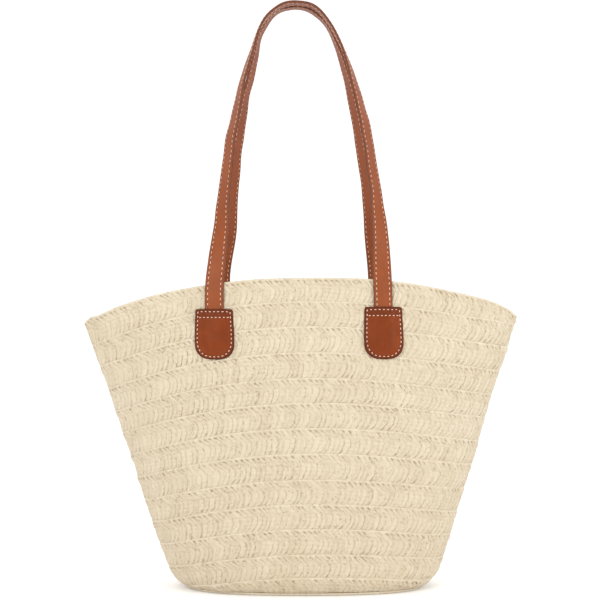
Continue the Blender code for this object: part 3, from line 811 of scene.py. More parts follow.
# ------------------------------------------------------------------- stitching
def stitches(name, centres, alongs, normals, length, radius, mat, rise=0.00035, sink=0.0007,
             sides=8, steps=9):
    """Separate stitches, each a short arched bead of thread that dives in at both ends."""
    centres, alongs, normals = (np.asarray(q, float) for q in (centres, alongs, normals))
    alongs = unit(alongs)
    normals = unit(normals - alongs * np.einsum("ij,ij->i", normals, alongs)[:, None])
    across = np.cross(alongs, normals)
    t = np.linspace(-1, 1, steps)
    lift = rise * (1 - t**2) - sink * np.abs(t) ** 5
    rad = radius * np.clip(1 - np.abs(t) ** 5, 0.12, 1) ** 0.5
    ang = np.linspace(0, 2 * PI, sides, endpoint=False)
    n = len(centres)
    rng = np.random.default_rng(len(name) * 31 + n)
    size = 1 + 0.07 * rng.standard_normal(n)
    skew = 0.10 * rng.standard_normal(n)
    along2 = unit(alongs + across * skew[:, None])
    ring = (centres[:, None, None, :]
            + along2[:, None, None, :] * (t[None, :, None, None] * length / 2 * size[:, None, None, None])
            + normals[:, None, None, :] * (lift[None, :, None, None]
                                           + (rad[:, None] * np.sin(ang)[None, :] * 0.8)[None, ..., None])
            + across[:, None, None, :] * (rad[:, None] * np.cos(ang)[None, :])[None, ..., None])
    verts = ring.reshape(-1, 3)
    one = grid_faces(steps, sides, closed_cols=True)
    cap0 = np.arange(sides)[None, :]
    cap1 = ((steps - 1) * sides + np.arange(sides))[None, ::-1]
    per = steps * sides
    off = np.arange(n) * per
    faces = [(one[None] + off[:, None, None]).reshape(-1, 4),
             (cap0[None] + off[:, None, None]).reshape(-1, sides)[:, ::-1],
             (cap1[None] + off[:, None, None]).reshape(-1, sides)[:, ::-1]]
    tt = np.broadcast_to(t[None, :, None] * length / 2, (n, steps, sides))
    aa = np.broadcast_to(ang[None, None, :] * radius, (n, steps, sides))
    lay = np.stack([tt.ravel(), aa.ravel(), np.repeat(np.arange(n) * 0.01, per)], -1)
    return make(name, verts, faces, [mat], attrs={"lay": lay})


# ------------------------------------------------------------------------ tabs
def tab_outline(inset=0.0):
    half_top = TAB_TOP_WIDTH / 2 - inset
    half_wide = TAB_WIDE / 2 - inset
    low = -TAB_HEIGHT + inset
    round_from = low + 0.0150
    corner = max(0.0022 - inset * 0.4, 0.0008)
    right = []
    for i in range(7):
        t = PI / 2 * i / 6
        right.append((half_top - corner + corner * math.sin(t), -inset - corner + corner * math.cos(t)))
    for i in range(1, 8):
        y = -inset - corner + (round_from + inset + corner) * i / 8
        right.append((half_top + (half_wide - half_top) * math.sin(PI / 2 * i / 8), y))
    for i in range(25):
        turn = PI / 2 * i / 24
        right.append((half_wide * max(math.cos(turn), 0.0) ** 0.72,
                      round_from - (round_from - low) * math.sin(turn) ** 0.95))
    right[-1] = (0.0, low)
    left = [(-x, y) for x, y in reversed(right[:-1])]
    return np.array(right + left)


def resample(points, count, closed=True):
    pts = np.vstack([points, points[:1]]) if closed else np.asarray(points)
    s = np.concatenate([[0], np.cumsum(np.linalg.norm(np.diff(pts, axis=0), axis=1))])
    t = np.linspace(0, s[-1], count, endpoint=not closed)
    return np.stack([np.interp(t, s, pts[:, i]) for i in range(pts.shape[1])], -1), s[-1]


def tab_height(x, y, inset, seed):
    """Height of a tab's face over the straw's skin."""
    strap = (1 - smooth(0.0068, 0.0122, np.abs(x))) * smooth(-0.0405, -0.0315, y)
    h = 0.0030 + 0.00135 * strap
    h = h + 0.00025 * smooth(0.003, 0.010, inset)
    h = h - 0.00042 * np.exp(-((inset - TAB_STITCH_INSET) / 0.00062) ** 2)
    inside = smooth(0.0035, 0.0045, TAB_TOP_WIDTH / 2 - np.abs(x))
    h = h - 0.00034 * np.exp(-((y + 0.0081) / 0.00066) ** 2) * inside
    round_off = np.clip(inset / 0.0009, 0, 1)
    h = h - 0.0008 * (1 - np.sqrt(1 - (1 - round_off) ** 2))
    h = h + 0.00012 * noise2(x * 420, y * 420, seed)
    return h


TAB_PLACES = {"front_left": (-0.0014, -0.0003, 1.022), "front_right": (-0.0003, 0.0019, 1.060),
              "rear_left": (0.0004, 0.0004, 1.02), "rear_right": (-0.0005, 0.0008, 1.03)}


def tab(face_word, hand_word, seed):
    side = -1 if face_word == "front" else 1
    hand = -1 if hand_word == "left" else 1
    word = face_word + "_" + hand_word
    count = 200
    insets = [0.0, 0.00015, 0.0004, 0.0007, 0.0010, 0.0014, 0.0018, 0.0021, 0.0024, 0.0026, 0.0028,
              0.0031, 0.0035, 0.0040, 0.0048, 0.0056, 0.0064, 0.0072, 0.0080, 0.0090, 0.0101,
              0.0113, 0.0125, 0.0137]
    rings, ins = [], []
    for d in insets:
        p, _ = resample(tab_outline(d), count)
        rings.append(p)
        ins.append(np.full(count, d))
    core = rings[-1]
    mid = np.array([0.0, core[:, 1].mean()])
    for f in (0.7, 0.4, 0.15):
        # shrink in x first so that the middle stays long
        p = mid + (core - mid) * np.array([f, 0.35 + 0.65 * f])
        rings.append(p)
        ins.append(np.full(count, insets[-1] + 0.002 * (1 - f)))
    top = np.concatenate(rings)
    inset = np.concatenate(ins)
    h = tab_height(top[:, 0], top[:, 1], inset, seed)
    bottom_rings = [rings[0], rings[4], rings[12], rings[-4], rings[-1]]
    bins = [ins[0], ins[4], ins[12], ins[-4], ins[-1]]
    bot = np.concatenate(bottom_rings)
    bin_ = np.concatenate(bins)
    hb = tab_height(bot[:, 0], bot[:, 1], bin_, seed) - 0.00165 + 0.0003 * (bin_ < 0.0002)

    # sewn by hand: no two tabs sit quite alike
    off_x, off_top, tall = TAB_PLACES[word]

    def to_wall(p, hh):
        return face_point(hand * TAB_X + off_x + p[:, 0] * 1.012, TAB_TOP_Z + off_top + p[:, 1] * tall,
                          side, hh)
    vt, nt = to_wall(top, h)
    vb, _ = to_wall(bot, hb)
    rows_t, rows_b = len(rings), len(bottom_rings)
    base = rows_t * count
    faces = [grid_faces(rows_t, count, closed_cols=True),
             grid_faces(rows_b, count, base, flip=True, closed_cols=True)]
    mat = [np.zeros(len(faces[0])), np.ones(len(faces[1]))]
    c = np.arange(count)
    c1 = (c + 1) % count
    side_wall = np.stack([base + c, base + c1, c1, c], -1)[:, ::-1]
    side_wall = np.stack([c, c1, base + c1, base + c], -1)
    cap_t = ((rows_t - 1) * count + c)[None, :]
    cap_b = (base + (rows_b - 1) * count + c)[None, ::-1]
    faces += [side_wall, cap_t, cap_b]
    mat += [np.ones(count), [0], [1]]
    # consistent winding: rings run one way, so test one face against the skin's normal
    verts = np.concatenate([vt, vb])
    f0 = faces[0][count * 8]
    normal = np.cross(verts[f0[1]] - verts[f0[0]], verts[f0[2]] - verts[f0[0]])
    if np.dot(normal, nt[f0[0]]) < 0:
        faces[0] = faces[0][:, ::-1]
        faces[1] = faces[1][:, ::-1]
    edge_q = faces[2][0]
    out_dir = verts[edge_q[0]] - np.mean(vt, axis=0)
    normal = np.cross(verts[edge_q[1]] - verts[edge_q[0]], verts[edge_q[2]] - verts[edge_q[0]])
    if np.dot(normal, out_dir) < 0:
        faces[2] = faces[2][:, ::-1]
    cap_n = np.cross(verts[cap_t[0][1]] - verts[cap_t[0][0]], verts[cap_t[0][count // 2]] - verts[cap_t[0][0]])
    if np.dot(cap_n, nt[0]) < 0:
        faces[3], faces[4] = faces[3][:, ::-1], faces[4][:, ::-1]
    # painted shade darkens the strip between the top edge and the bar stitch; the margins are burnished darker
    band = smooth(-0.0088, -0.0078, top[:, 1]) * 0.42
    rub = np.concatenate([np.maximum(1 - smooth(0.0006, 0.0024, inset), band), np.ones(len(bot))])
    # painted shade in the stitch groove round the edge and along the bar stitch
    bar = np.exp(-((top[:, 1] + 0.0081) / 0.0007) ** 2) * (np.abs(top[:, 0]) < TAB_TOP_WIDTH / 2 - 0.004)
    dent = np.concatenate([np.maximum(np.exp(-((inset - TAB_STITCH_INSET) / 0.0006) ** 2), bar * 0.8),
                           np.zeros(len(bot))])
    obj = make("leather_tab_" + word, verts, faces, [tab_leather, paint], face_mat=np.concatenate(mat),
               attrs={"rub": rub, "dent": dent}, body="bag", sharp=50)
    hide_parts("tab_" + word)

    # stitches: all round, and a second row across under the top edge
    line = tab_outline(TAB_STITCH_INSET)
    total = resample(line, 10)[1]
    number = int(round(total / 0.0041))
    pts, _ = resample(line, number * 8)
    centre = pts[4::8][:number]
    ahead = pts[np.arange(5, number * 8, 8)[:number] % len(pts)]
    behind = pts[np.arange(3, number * 8, 8)[:number]]
    run_pts = np.concatenate([centre, ])
    hh = tab_height(run_pts[:, 0], run_pts[:, 1], np.full(number, TAB_STITCH_INSET), seed)
    p, n = to_wall(run_pts, hh + 0.00012)
    pa, _ = to_wall(ahead, hh)
    pb, _ = to_wall(behind, hh)
    obj = stitches("tab_stitches_" + word, p, pa - pb, n, 0.0024, 0.00045, tab_thread)
    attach(obj, "bag")
    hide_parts("tab_stitching_" + word)
    span = TAB_TOP_WIDTH / 2 - TAB_STITCH_INSET - 0.0022
    xs = np.linspace(-span, span, 8)
    ys = np.full_like(xs, -0.0081)
    hh = tab_height(xs, ys, np.full_like(xs, 0.008), seed)
    p, n = to_wall(np.stack([xs, ys], -1), hh + 0.00012)
    alongs = np.tile([1.0, 0.0, 0.0], (len(xs), 1))
    obj = stitches("tab_bar_stitches_" + word, p, alongs, n, 0.0024, 0.00045, tab_thread)
    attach(obj, "bag")
    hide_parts("tab_bar_stitch_" + word)


for i, (fw, hw) in enumerate((("front", "left"), ("front", "right"), ("rear", "left"), ("rear", "right"))):
    tab(fw, hw, 40 + i)


# ---------------------------------------------------------------------- straps
def handle_depth(z):
    """Distance of the strap's middle from the bag's middle plane, above the tabs."""
    start, free, out = HANDLE[0][0], 0.3100, 0.0004 + STRAP_THICK / 2

    def beside(zz):
        p, n = face_point(TAB_X, zz, 1, 0.0)
        return float(p[..., 1] + out * n[..., 1])
    y_start, y_free = beside(start), beside(free)
    if z <= free:
        return beside(z)
    slope0 = (y_free - y_start) / (free - start)
    span = HANDLE[-1][0] - free
    u = (z - free) / span
    return ((2 * u**3 - 3 * u**2 + 1) * y_free + (u**3 - 2 * u**2 + u) * span * slope0
            + (-2 * u**3 + 3 * u**2) * HANDLE_TOP_Y + (u**3 - u**2) * span * (-0.10))


def catmull(i, u):
    rows = [HANDLE[max(i - 1, 0)], HANDLE[i], HANDLE[i + 1], None]
    rows[3] = HANDLE[i + 2] if i + 2 < len(HANDLE) else (HANDLE[-2][0], -HANDLE[-2][1], 90.0)
    if i == 0:
        rows[0] = tuple(2 * a - b for a, b in zip(rows[1], rows[2]))
    return tuple(0.5 * (2 * b + (c - a) * u + (2 * a - 5 * b + 4 * c - d) * u**2
                        + (3 * b - a - 3 * c + d) * u**3) for a, b, c, d in zip(*rows))


def strap_leg(side):
    """Centres, face normals and thicknesses of the right-hand leg, from its end
    under the tab up to the top of the loop."""
    centre, normal, thick = [], [], []
    z = TAB_TOP_Z - 0.0012 - TAIL_LENGTH
    while z < 0.2836:
        out = 0.0015 + 0.0001 * smooth(0.270, 0.2822, z)
        p, n = face_point(TAB_X, z, side, out)
        centre.append(p)
        normal.append(n)
        thick.append(0.0020 + 0.0004 * smooth(0.276, 0.2836, z))
        z += 0.0018
    for i in range(len(HANDLE) - 1):
        z0, x0, _ = HANDLE[i]
        z1, x1, _ = HANDLE[i + 1]
        parts = max(1, round(math.hypot(z1 - z0, x1 - x0) / 0.0019))
        for k in range(parts):
            zz, x, turn = catmull(i, k / parts)
            centre.append(np.array([x, side * handle_depth(zz), zz]))
            normal.append(turn)
            thick.append(0.0024 + 0.0002 * float(smooth(0.2836, 0.292, zz)))
    centre.append(np.array([0.0, side * HANDLE_TOP_Y, HANDLE[-1][0]]))
    normal.append(90.0)
    thick.append(STRAP_THICK)
    centre = np.array(centre)
    along = np.gradient(centre, axis=0)
    along[-1] = (-1.0, 0.0, 0.0)
    along = unit(along)
    out_n = np.zeros_like(centre)
    for i, n in enumerate(normal):
        if np.ndim(n):
            out_n[i] = n
            continue
        t = along[i]
        front = np.array([0.0, side, 0.0])
        front = unit(front - t * front.dot(t))
        outward = np.cross(t, front)
        if (outward[0] < 0 and i < len(normal) - 1) or (i == len(normal) - 1 and outward[2] < 0):
            outward = -outward
        if i > len(normal) - 8 and outward[2] < 0:
            outward = -outward
        rad = math.radians(n)
        out_n[i] = unit(front * math.cos(rad) + outward * math.sin(rad))
    # ease the turn of the face from the flat of the wall into the strap's own twist
    for _ in range(3):
        out_n[1:-1] = unit(0.25 * out_n[:-2] + 0.5 * out_n[1:-1] + 0.25 * out_n[2:])
    z = centre[:, 2]
    lift = 0.0008 * smooth(0.2822, 0.297, z) * (1 - smooth(0.315, 0.37, z))
    centre = centre + out_n * lift[:, None]
    for _ in range(4):
        centre[1:-1] = 0.25 * centre[:-2] + 0.5 * centre[1:-1] + 0.25 * centre[2:]
    return centre, out_n, np.array(thick)


def strap(face_word, seed):
    side = -1 if face_word == "front" else 1
    c, n, th = strap_leg(side)
    flip = np.array([-1.0, 1.0, 1.0])
    centre = np.concatenate([c * flip, c[:-1][::-1]])
    normal = np.concatenate([n * flip, n[:-1][::-1]])
    thick = np.concatenate([th, th[:-1][::-1]])
    s = np.concatenate([[0], np.cumsum(np.linalg.norm(np.diff(centre, axis=0), axis=1))])
    # slow waves of a soft strap that has been carried and packed flat
    free = smooth(0.32, 0.40, centre[:, 2])
    if side > 0:      # the rear loop hangs a little narrower than the front one
        narrow = 0.0034 * smooth(0.315, 0.37, centre[:, 2]) * (1 - smooth(0.52, 0.575, centre[:, 2]))
        centre[:, 0] -= np.sign(centre[:, 0]) * narrow
    else:             # and the front one's left leg comes down a little further out
        centre[:, 0] -= 0.0013 * (1 - smooth(0.295, 0.33, centre[:, 2])) * (centre[:, 0] < 0)
    centre = centre + normal * (0.0006 * noise1(s * 45, seed) * free)[:, None]
    along = unit(np.gradient(centre, axis=0))
    normal = unit(normal - along * np.einsum("ij,ij->i", normal, along)[:, None])
    across = np.cross(along, normal)
    twist = 0.05 * noise1(s * 30, seed + 1) * free
    normal, across = (normal * np.cos(twist)[:, None] + across * np.sin(twist)[:, None],
                      across * np.cos(twist)[:, None] - normal * np.sin(twist)[:, None])

    half = STRAP_WIDTH / 2
    groove = half - STITCH_INSET
    ws = np.array([-8.55, -8.1, -7.6, -7.1, -6.8, -6.55, -6.4, -6.25, -6.0, -5.6, -4.8, -3.4, -1.7, 0.0])
    ws = np.concatenate([ws, -ws[:-1][::-1]]) * 0.001
    # one unit of depth is half the strap's thickness
    def face_depth(w):
        q = np.abs(w)
        d = 1.0 - 0.05 * (q / half) ** 2
        d = d - 0.17 * np.exp(-((q - groove) / 0.00042) ** 2)
        return d - 0.20 * smooth(half - 0.0013, half - 0.0002, q)
    edge = [(half - 0.00022, 0.62), (half, 0.34), (half + 0.00005, 0.10), (half - 0.00008, 0.0),
            (half + 0.00005, -0.10), (half, -0.34), (half - 0.00022, -0.62)]
    ring = [(w, d) for w, d in zip(ws, face_depth(ws))]
    ring += edge
    ring += [(w, -d) for w, d in zip(ws[::-1], face_depth(ws[::-1]))]
    ring += [(-w, -d) for w, d in edge]
    ring = np.array(ring)
    count = len(ring)
    m = len(centre)
    puff = 1 + 0.05 * noise1(s * 120, seed + 2, 2)
    w_edge = 1.025 + 0.03 * free + 0.008 * noise1(s * 90, seed + 3, 2)
    verts = (centre[:, None, :] + across[:, None, :] * (ring[None, :, 0] * w_edge[:, None])[..., None]
             + normal[:, None, :] * (ring[None, :, 1] * thick[:, None] / 2 * puff[:, None])[..., None])
    verts = verts.reshape(-1, 3)
    faces = [grid_faces(m, count, closed_cols=True), np.arange(count)[None, :],
             ((m - 1) * count + np.arange(count))[None, ::-1]]
    quad = faces[0]
    # the two caps must close the tube the same way round
    col = quad[:, 0] % count
    nface = len(ws)
    painted = ((col >= nface - 1) & (col < nface + 7)) | (col >= 2 * nface + 6)
    q = np.abs(ring[:, 0])
    rub = smooth(half - 0.0016, half - 0.0003, q)
    # painted shade in the stitch grooves
    dent = np.exp(-((q - groove) / 0.00045) ** 2)
    worn = 0.35 * np.clip(noise1(s * 60, seed + 5), 0, 1)
    obj = make(face_word + "_strap", verts, [faces[0], faces[1][:, ::-1], faces[2][:, ::-1]],
               [strap_leather, paint],
               face_mat=np.concatenate([painted.astype(int), [1, 1]]),
               attrs={"rub": (np.tile(rub, m) * np.repeat(1 - worn, count)), "dent": np.tile(dent, m)},
               sharp=60)
    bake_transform(obj)
    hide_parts(face_word + "_handle_face", face_word + "_handle_back",
                "strap_end_" + face_word + "_left", "strap_end_" + face_word + "_right")

    # stitches on both faces, from one tab's top edge to the other
    total = s[-1]
    first = s[np.argmax(centre[:, 2] > TAB_TOP_Z + 0.0012)]
    number = int(round((total - 2 * first) / 0.0051))
    at = first + (np.arange(number) + 0.5) * (total - 2 * first) / number

    def sample(values, t):
        return np.stack([np.interp(t, s, values[:, i]) for i in range(3)], -1)
    ce, al, no, ac = (sample(q, at) for q in (centre, along, normal, across))
    tk = np.interp(at, s, thick) / 2
    for word, sign in (("inner", -1), ("outer", 1)):
        both_c, both_a, both_n = [], [], []
        for up in (1, -1):
            depth = face_depth(np.array([groove]))[0] * tk * up
            both_c.append(ce + ac * (sign * groove) + no * (depth + 0.00006 * up)[:, None])
            both_a.append(al)
            both_n.append(no * up)
        st = stitches(f"{face_word}_strap_stitches_{word}", np.concatenate(both_c), np.concatenate(both_a),
                      np.concatenate(both_n), 0.0030, 0.00040, strap_thread, rise=0.0003, sink=0.0006)
        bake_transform(st)
        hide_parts(f"{face_word}_handle_stitching_{word}")


strap("front", 71)
strap("rear", 83)


# ---------------------------------------------------------------------- lining
def panel(name, a0, a1, level0, level1, inset, thick, cols, rows, fold, seed, hem=None):
    """A sheet of cloth inside the wall, with soft folds standing in from it."""
    a = np.linspace(a0, a1, cols)[None, :]
    t = np.linspace(0, 1, rows)[:, None]
    level = level0 + (level1 - level0) * t
    z = WALL_FOOT + (rim_height(a) - WALL_FOOT) * level
    a = np.broadcast_to(a, z.shape)
    edge = smooth(0, 0.06, (a - a0) / (a1 - a0)) * (1 - smooth(0.94, 1, (a - a0) / (a1 - a0)))
    slack = np.sin(PI * np.clip(t, 0, 1)) ** 0.8
    f = 0.5 + 0.5 * noise2(a * 11.0, z * 22.0, seed)
    g = 0.5 + 0.5 * noise2(a * 26.0 + 3 * f, z * 14.0, seed + 1)
    depth = fold * edge * slack * (0.65 * np.clip(f, 0, 1.3) + 0.35 * np.clip(g, 0, 1.3) ** 2)
    if hem is not None:
        roll = np.exp(-((level1 - level) * 0.30 / 0.0022 - 4.6) ** 2) * 0.0003
        extra = 0.0007 * smooth(hem[0], hem[1], level)
    else:
        roll, extra = 0.0, 0.0
    front_in = inset + depth + thick + extra + roll
    back_in = inset + depth
    p0 = wall(a, z, front_in)
    p1 = wall(a, z, back_in)
    verts = np.concatenate([p0.reshape(-1, 3), p1.reshape(-1, 3)])
    base = rows * cols
    c, r = np.arange(cols - 1), np.arange(rows - 1)
    top = (rows - 1) * cols
    faces = [grid_faces(rows, cols), grid_faces(rows, cols, base, flip=True),
             np.stack([c + 1, c, base + c, base + c + 1], -1)[:, ::-1],
             np.stack([top + c, top + c + 1, base + top + c + 1, base + top + c], -1)[:, ::-1],
             np.stack([r * cols, (r + 1) * cols, base + (r + 1) * cols, base + r * cols], -1)[:, ::-1],
             np.stack([(r + 1) * cols + cols - 1, r * cols + cols - 1, base + r * cols + cols - 1,
                       base + (r + 1) * cols + cols - 1], -1)[:, ::-1]]
    seg = np.linalg.norm(np.diff(p0, axis=1), axis=2)
    sx = np.concatenate([np.zeros((rows, 1)), np.cumsum(seg, axis=1)], axis=1)
    sx = sx - sx[:, cols // 2:cols // 2 + 1]
    lay = np.stack([sx, z, 0 * z], -1).reshape(-1, 3)
    lay = np.concatenate([lay, lay])
    obj = make(name, verts, faces, [cloth], attrs={"lay": lay}, body="bag", sharp=50)
    mid = p0
    e1 = mid[:-1, 1:] - mid[:-1, :-1]
    e2 = mid[1:, :-1] - mid[:-1, :-1]
    area = float(np.linalg.norm(np.cross(e1, e2), axis=2).sum())
    width = float(seg.sum(axis=1).max())
    height = float(np.linalg.norm(np.diff(mid, axis=0), axis=2).sum(axis=0).max())
    return obj, width, height, area


def hem_stitches(name, a0, a1, level, inset, pitch=0.0040):
    a = np.linspace(a0, a1, 3000)
    z = WALL_FOOT + (rim_height(a) - WALL_FOOT) * level
    p = wall(a, z, inset)
    s = np.concatenate([[0], np.cumsum(np.linalg.norm(np.diff(p, axis=0), axis=1))])
    number = int(s[-1] / pitch)
    at = (np.arange(number) + 0.5) * s[-1] / number
    aa = np.interp(at, s, a)
    zz = WALL_FOOT + (rim_height(aa) - WALL_FOOT) * level
    pts = wall(aa, zz, inset)
    ahead = wall(aa + 0.003, WALL_FOOT + (rim_height(aa + 0.003) - WALL_FOOT) * level, inset)
    return stitches(name, pts, ahead - pts, -wall_normal(aa, zz), 0.0027, 0.00032, strap_thread,
                    rise=0.0002, sink=0.0004, sides=6, steps=7)


for word, start, seed in (("rear", 0.0, 21), ("front", PI, 22)):
    e = math.radians(1.1)
    obj, w, l, area = panel("lining_cloth_" + word, start + e, start + PI - e, 0.026, LINING_TOP,
                            LINING_IN, LINING_THICK, 220, 110, 0.0032, seed, hem=(0.888, 0.896))
    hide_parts("lining_" + word)
    st = hem_stitches("lining_hem_stitches_" + word, start + e * 2, start + PI - e * 2, 0.897,
                      LINING_IN + LINING_THICK + 0.0009)
    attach(st, "bag")

half = math.radians(22.5)
obj, w, l, area = panel("lining_pocket_cloth", PI / 2 - half, PI / 2 + half, 0.40, 0.76,
                        LINING_IN + LINING_THICK + 0.0040, 0.0007, 90, 60, 0.0012, 23, hem=(0.70, 0.712))
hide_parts("lining_pocket")
st = hem_stitches("pocket_hem_stitches", PI / 2 - half * 0.97, PI / 2 + half * 0.97, 0.712,
                  LINING_IN + LINING_THICK + 0.0058)
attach(st, "bag")


def lining_base():
    cols, rings = 160, 26
    t = np.linspace(0, 2 * PI, cols, endpoint=False)
    hx, hy = 0.1192 - SIDE_OFFSET * LINING_IN - 0.0010, 0.0495 - LINING_IN - 0.0010
    rr = np.linspace(0.02, 1, rings)
    top, low = [], []
    for r in rr:
        p = oval(t, hx * r, hy * r, 0.86 + 0.14 * (1 - r))
        z = 0.0036 + 0.0010 * np.clip(noise2(p[:, 0] * 60, p[:, 1] * 60, 31), 0, 1) * (1 - r**4)
        top.append(np.column_stack([p, z + LINING_THICK]))
        low.append(np.column_stack([p, z]))
    verts = np.concatenate(top + low)
    base = rings * cols
    c = np.arange(cols)
    c1 = (c + 1) % cols
    e = (rings - 1) * cols
    faces = [grid_faces(rings, cols, closed_cols=True), grid_faces(rings, cols, base, flip=True, closed_cols=True),
             np.stack([e + c, base + e + c, base + e + c1, e + c1], -1),
             c[None, ::-1], (base + c)[None, :]]
    lay = np.column_stack([verts[:, :2], np.zeros(len(verts))])
    obj = make("lining_cloth_base", verts, faces, [cloth], attrs={"lay": lay}, body="bag", sharp=50)
    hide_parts("lining_base")


lining_base()


# ------------------------------------------------------------------ magnetic snap
def lathe(name, profile, place, mats, body, sides=64, sharp=35):
    profile = np.array(profile, float)
    ang = np.linspace(0, 2 * PI, sides, endpoint=False)
    inner = profile[(profile[:, 0] > 1e-6)]
    pts = np.stack([inner[:, None, 0] * np.cos(ang), inner[:, None, 0] * np.sin(ang),
                    np.broadcast_to(inner[:, None, 1], (len(inner), sides))], -1).reshape(-1, 3)
    rows = len(inner)
    closed = bool((profile[:, 0] > 1e-6).all())
    if closed:
        faces = [grid_faces(rows, sides, closed_cols=True, closed_rows=True)]
    else:
        faces = [grid_faces(rows, sides, closed_cols=True), np.arange(sides)[None, ::-1],
                 ((rows - 1) * sides + np.arange(sides))[None, :]]
        faces = [faces[0], faces[1][:, ::-1], faces[2][:, ::-1]]
    m = np.array(place)
    pts = pts @ m[:3, :3].T + m[:3, 3]
    return make(name, pts, faces, mats, body=body, sharp=sharp)


for side, word in ((-1, "front"), (1, "rear")):
    level_z = WALL_FOOT + (RIM_CENTRE_Z - WALL_FOOT) * 0.905
    p, n = face_point(0.0, level_z, side, 0.0)
    inward = Vector(-n)
    up = (Vector((0, 0, 1)) - inward * inward.z).normalized()
    right = up.cross(inward)
    rot = Matrix((right, up, inward)).transposed().to_4x4()
    depth = WALL_THICK + 0.0006 + 0.0006 + 0.0004

    def placed(offset):
        m = rot.copy()
        m.translation = Vector(p) + inward * offset
        return m
    if side < 0:
        top = 0.0032
        prof = [(0.0, 0.0008), (0.0024, 0.0008), (0.0029, 0.0012), (0.0029, top - 0.0003), (0.0032, top),
                (0.0052, top), (0.0056, top - 0.0002), (0.0060, top), (0.0076, top), (0.0083, top - 0.0003),
                (0.0088, top - 0.0009), (0.0090, top - 0.0016), (0.0090, 0.0003), (0.0087, 0.0), (0.0, 0.0)]
        node = "snap_socket"
    else:
        prof = [(0.0, 0.0040), (0.0014, 0.0040), (0.0021, 0.0037), (0.0025, 0.0031), (0.0025, 0.0020),
                (0.0029, 0.0016), (0.0060, 0.0016), (0.0064, 0.0014), (0.0068, 0.0016), (0.0080, 0.0015),
                (0.0088, 0.0011), (0.0090, 0.0006), (0.0090, 0.0002), (0.0087, 0.0), (0.0, 0.0)]
        node = "snap_stud"
    obj = lathe(node + "_turned", prof, placed(depth + 0.0026), [brass], "bag")
    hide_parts(node)
    ring = [(0.0028, -0.0003), (0.0028, 0.0003), (0.0070, 0.0003), (0.0070, -0.0003)]
    obj = lathe("snap_washer_" + word + "_ring", ring, placed(depth + 0.0003), [brass], "bag")
    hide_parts("snap_washer_" + word)

    # leather patch with a pillowed face and a stitched margin
    count, scales = 120, [1.0, 0.985, 0.96, 0.93, 0.88, 0.85, 0.82, 0.78, 0.65, 0.45, 0.25, 0.1]
    t = np.linspace(0, 2 * PI, count, endpoint=False)
    outline = oval(t, 0.0135, 0.0165, 0.45)
    levels = [0.0009, 0.0013, 0.00145, 0.0015, 0.00142, 0.00128, 0.00142, 0.0015, 0.0015, 0.0015, 0.0015, 0.0015]
    rows = [np.column_stack([outline * sc, np.full(count, z)]) for sc, z in zip(scales, levels)]
    rows = [np.column_stack([outline * 0.1, np.full(count, 0.0002)]),
            np.column_stack([outline, np.full(count, 0.0002)])] + rows
    v = np.concatenate(rows)
    m = np.array(placed(depth + 0.0006 + 0.0002))
    v = v @ m[:3, :3].T + m[:3, 3]
    faces = [grid_faces(len(rows), count, closed_cols=True), np.arange(count)[None, :],
             ((len(rows) - 1) * count + np.arange(count))[None, ::-1]]
    rub = np.concatenate([np.ones(2 * count)] + [np.full(count, max(0.0, (sc - 0.9) / 0.1)) for sc in scales])
    # painted shade in the stitch groove
    dent = np.concatenate([np.zeros(2 * count)] + [np.full(count, math.exp(-((sc - 0.85) / 0.03) ** 2)) for sc in scales])
    obj = make("snap_patch_" + word + "_leather", v, faces, [tab_leather], body="bag", sharp=50,
               attrs={"rub": rub, "dent": dent})
    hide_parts("snap_patch_" + word)
    line = outline * 0.85
    total = resample(line, 10)[1]
    number = int(round(total / 0.0040))
    pts, _ = resample(line, number * 8)
    cen, ahead, behind = pts[4::8], pts[5::8], pts[3::8]
    cen3 = np.column_stack([cen, np.full(len(cen), 0.00145)]) @ m[:3, :3].T + m[:3, 3]
    dirs = np.column_stack([ahead - behind, np.zeros(len(cen))]) @ m[:3, :3].T
    st = stitches("snap_patch_stitches_" + word, cen3, dirs, np.tile(np.array(inward), (len(cen), 1)),
                  0.0025, 0.00034, tab_thread, rise=0.0002, sink=0.0005, sides=6, steps=7)
    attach(st, "bag")

# ------------------------------------------------------- floor, light and camera
def floor_material():
    s = Shade("studio_floor")
    where = s.place()
    a = s.noise(where, 1.5, 2.0, 0.5)
    colour = s.ramp(a, ((0.3, (0.92, 0.92, 0.92)), (0.7, (0.95, 0.95, 0.95))))
    return s.surface(colour, s.remap(a, 0.3, 0.7, 0.85, 0.95), s.bump(a, 0.02, 0.001),
                     Specular_IOR_Level=0.1)


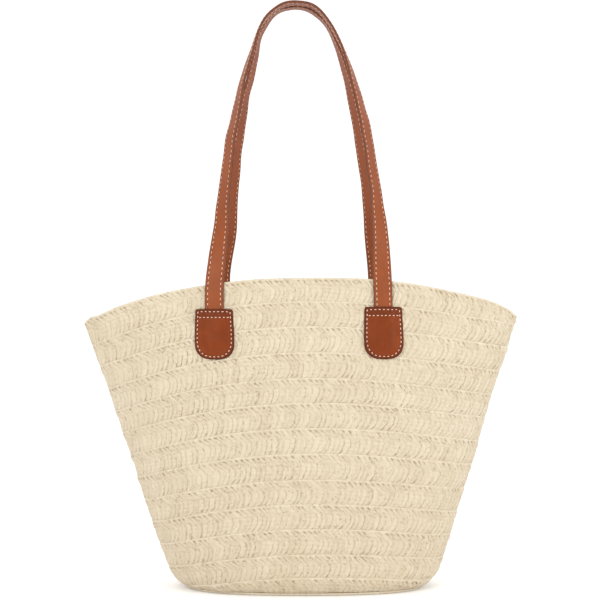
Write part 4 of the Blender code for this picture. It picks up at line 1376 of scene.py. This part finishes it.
cols = 64
t = np.linspace(0, 2 * PI, cols, endpoint=False)
ring = np.stack([12 * np.cos(t), 12 * np.sin(t)], -1)
fv = np.concatenate([np.column_stack([ring, np.zeros(cols)]), np.column_stack([ring, np.full(cols, -0.05)])])
c = np.arange(cols)
floor = make("studio_floor", fv, [c[None, :], (cols + c)[None, ::-1],
                                  np.stack([c, cols + c, cols + (c + 1) % cols, (c + 1) % cols], -1)],
             [floor_material()], tilt=False)
floor.data.materials[0].node_tree.nodes["Principled BSDF"].inputs["Emission Color"].default_value = (1, 1, 1, 1)
floor.data.materials[0].node_tree.nodes["Principled BSDF"].inputs["Emission Strength"].default_value = 0.10
floor.location.z = -0.0002
floor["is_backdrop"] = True

world = bpy.data.worlds.new("studio")
bpy.context.scene.world = world
world.use_nodes = True
bg = world.node_tree.nodes["Background"]
bg.inputs["Color"].default_value = (1.0, 1.0, 1.0, 1.0)
bg.inputs["Strength"].default_value = 1.12


def area_light(name, place, target, size, power, colour=(1.0, 1.0, 1.0)):
    data = bpy.data.lights.new(name, "AREA")
    data.shape = "RECTANGLE"
    data.size, data.size_y = size
    data.energy = power
    data.color = colour
    obj = bpy.data.objects.new(name, data)
    obj.location = place
    obj.rotation_euler = (Vector(target) - Vector(place)).to_track_quat("-Z", "Y").to_euler()
    bpy.context.scene.collection.objects.link(obj)
    return obj


area_light("key", (-0.95, -1.7, 1.0), (0, 0, 0.25), (0.7, 0.7), 10.0, (1.0, 0.99, 0.97))
area_light("fill", (1.7, -1.2, 0.55), (0.1, 0, 0.2), (1.2, 1.2), 11.0)
area_light("top", (0.0, 0.2, 2.2), (0, 0, 0.3), (1.8, 1.8), 4.0)

cam_data = bpy.data.cameras.new("camera")
cam_data.lens = 82.35
cam_data.sensor_width = 36.0
cam_data.shift_x = 0.00083
cam_data.clip_start, cam_data.clip_end = 0.01, 100.0
cam = bpy.data.objects.new("camera", cam_data)
cam.location = (0.0, -1.4, 0.291)
cam.rotation_euler = (math.radians(90), 0, 0)
bpy.context.scene.collection.objects.link(cam)
bpy.context.scene.camera = cam
bpy.context.scene.view_settings.view_transform = "Standard"

lo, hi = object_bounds()
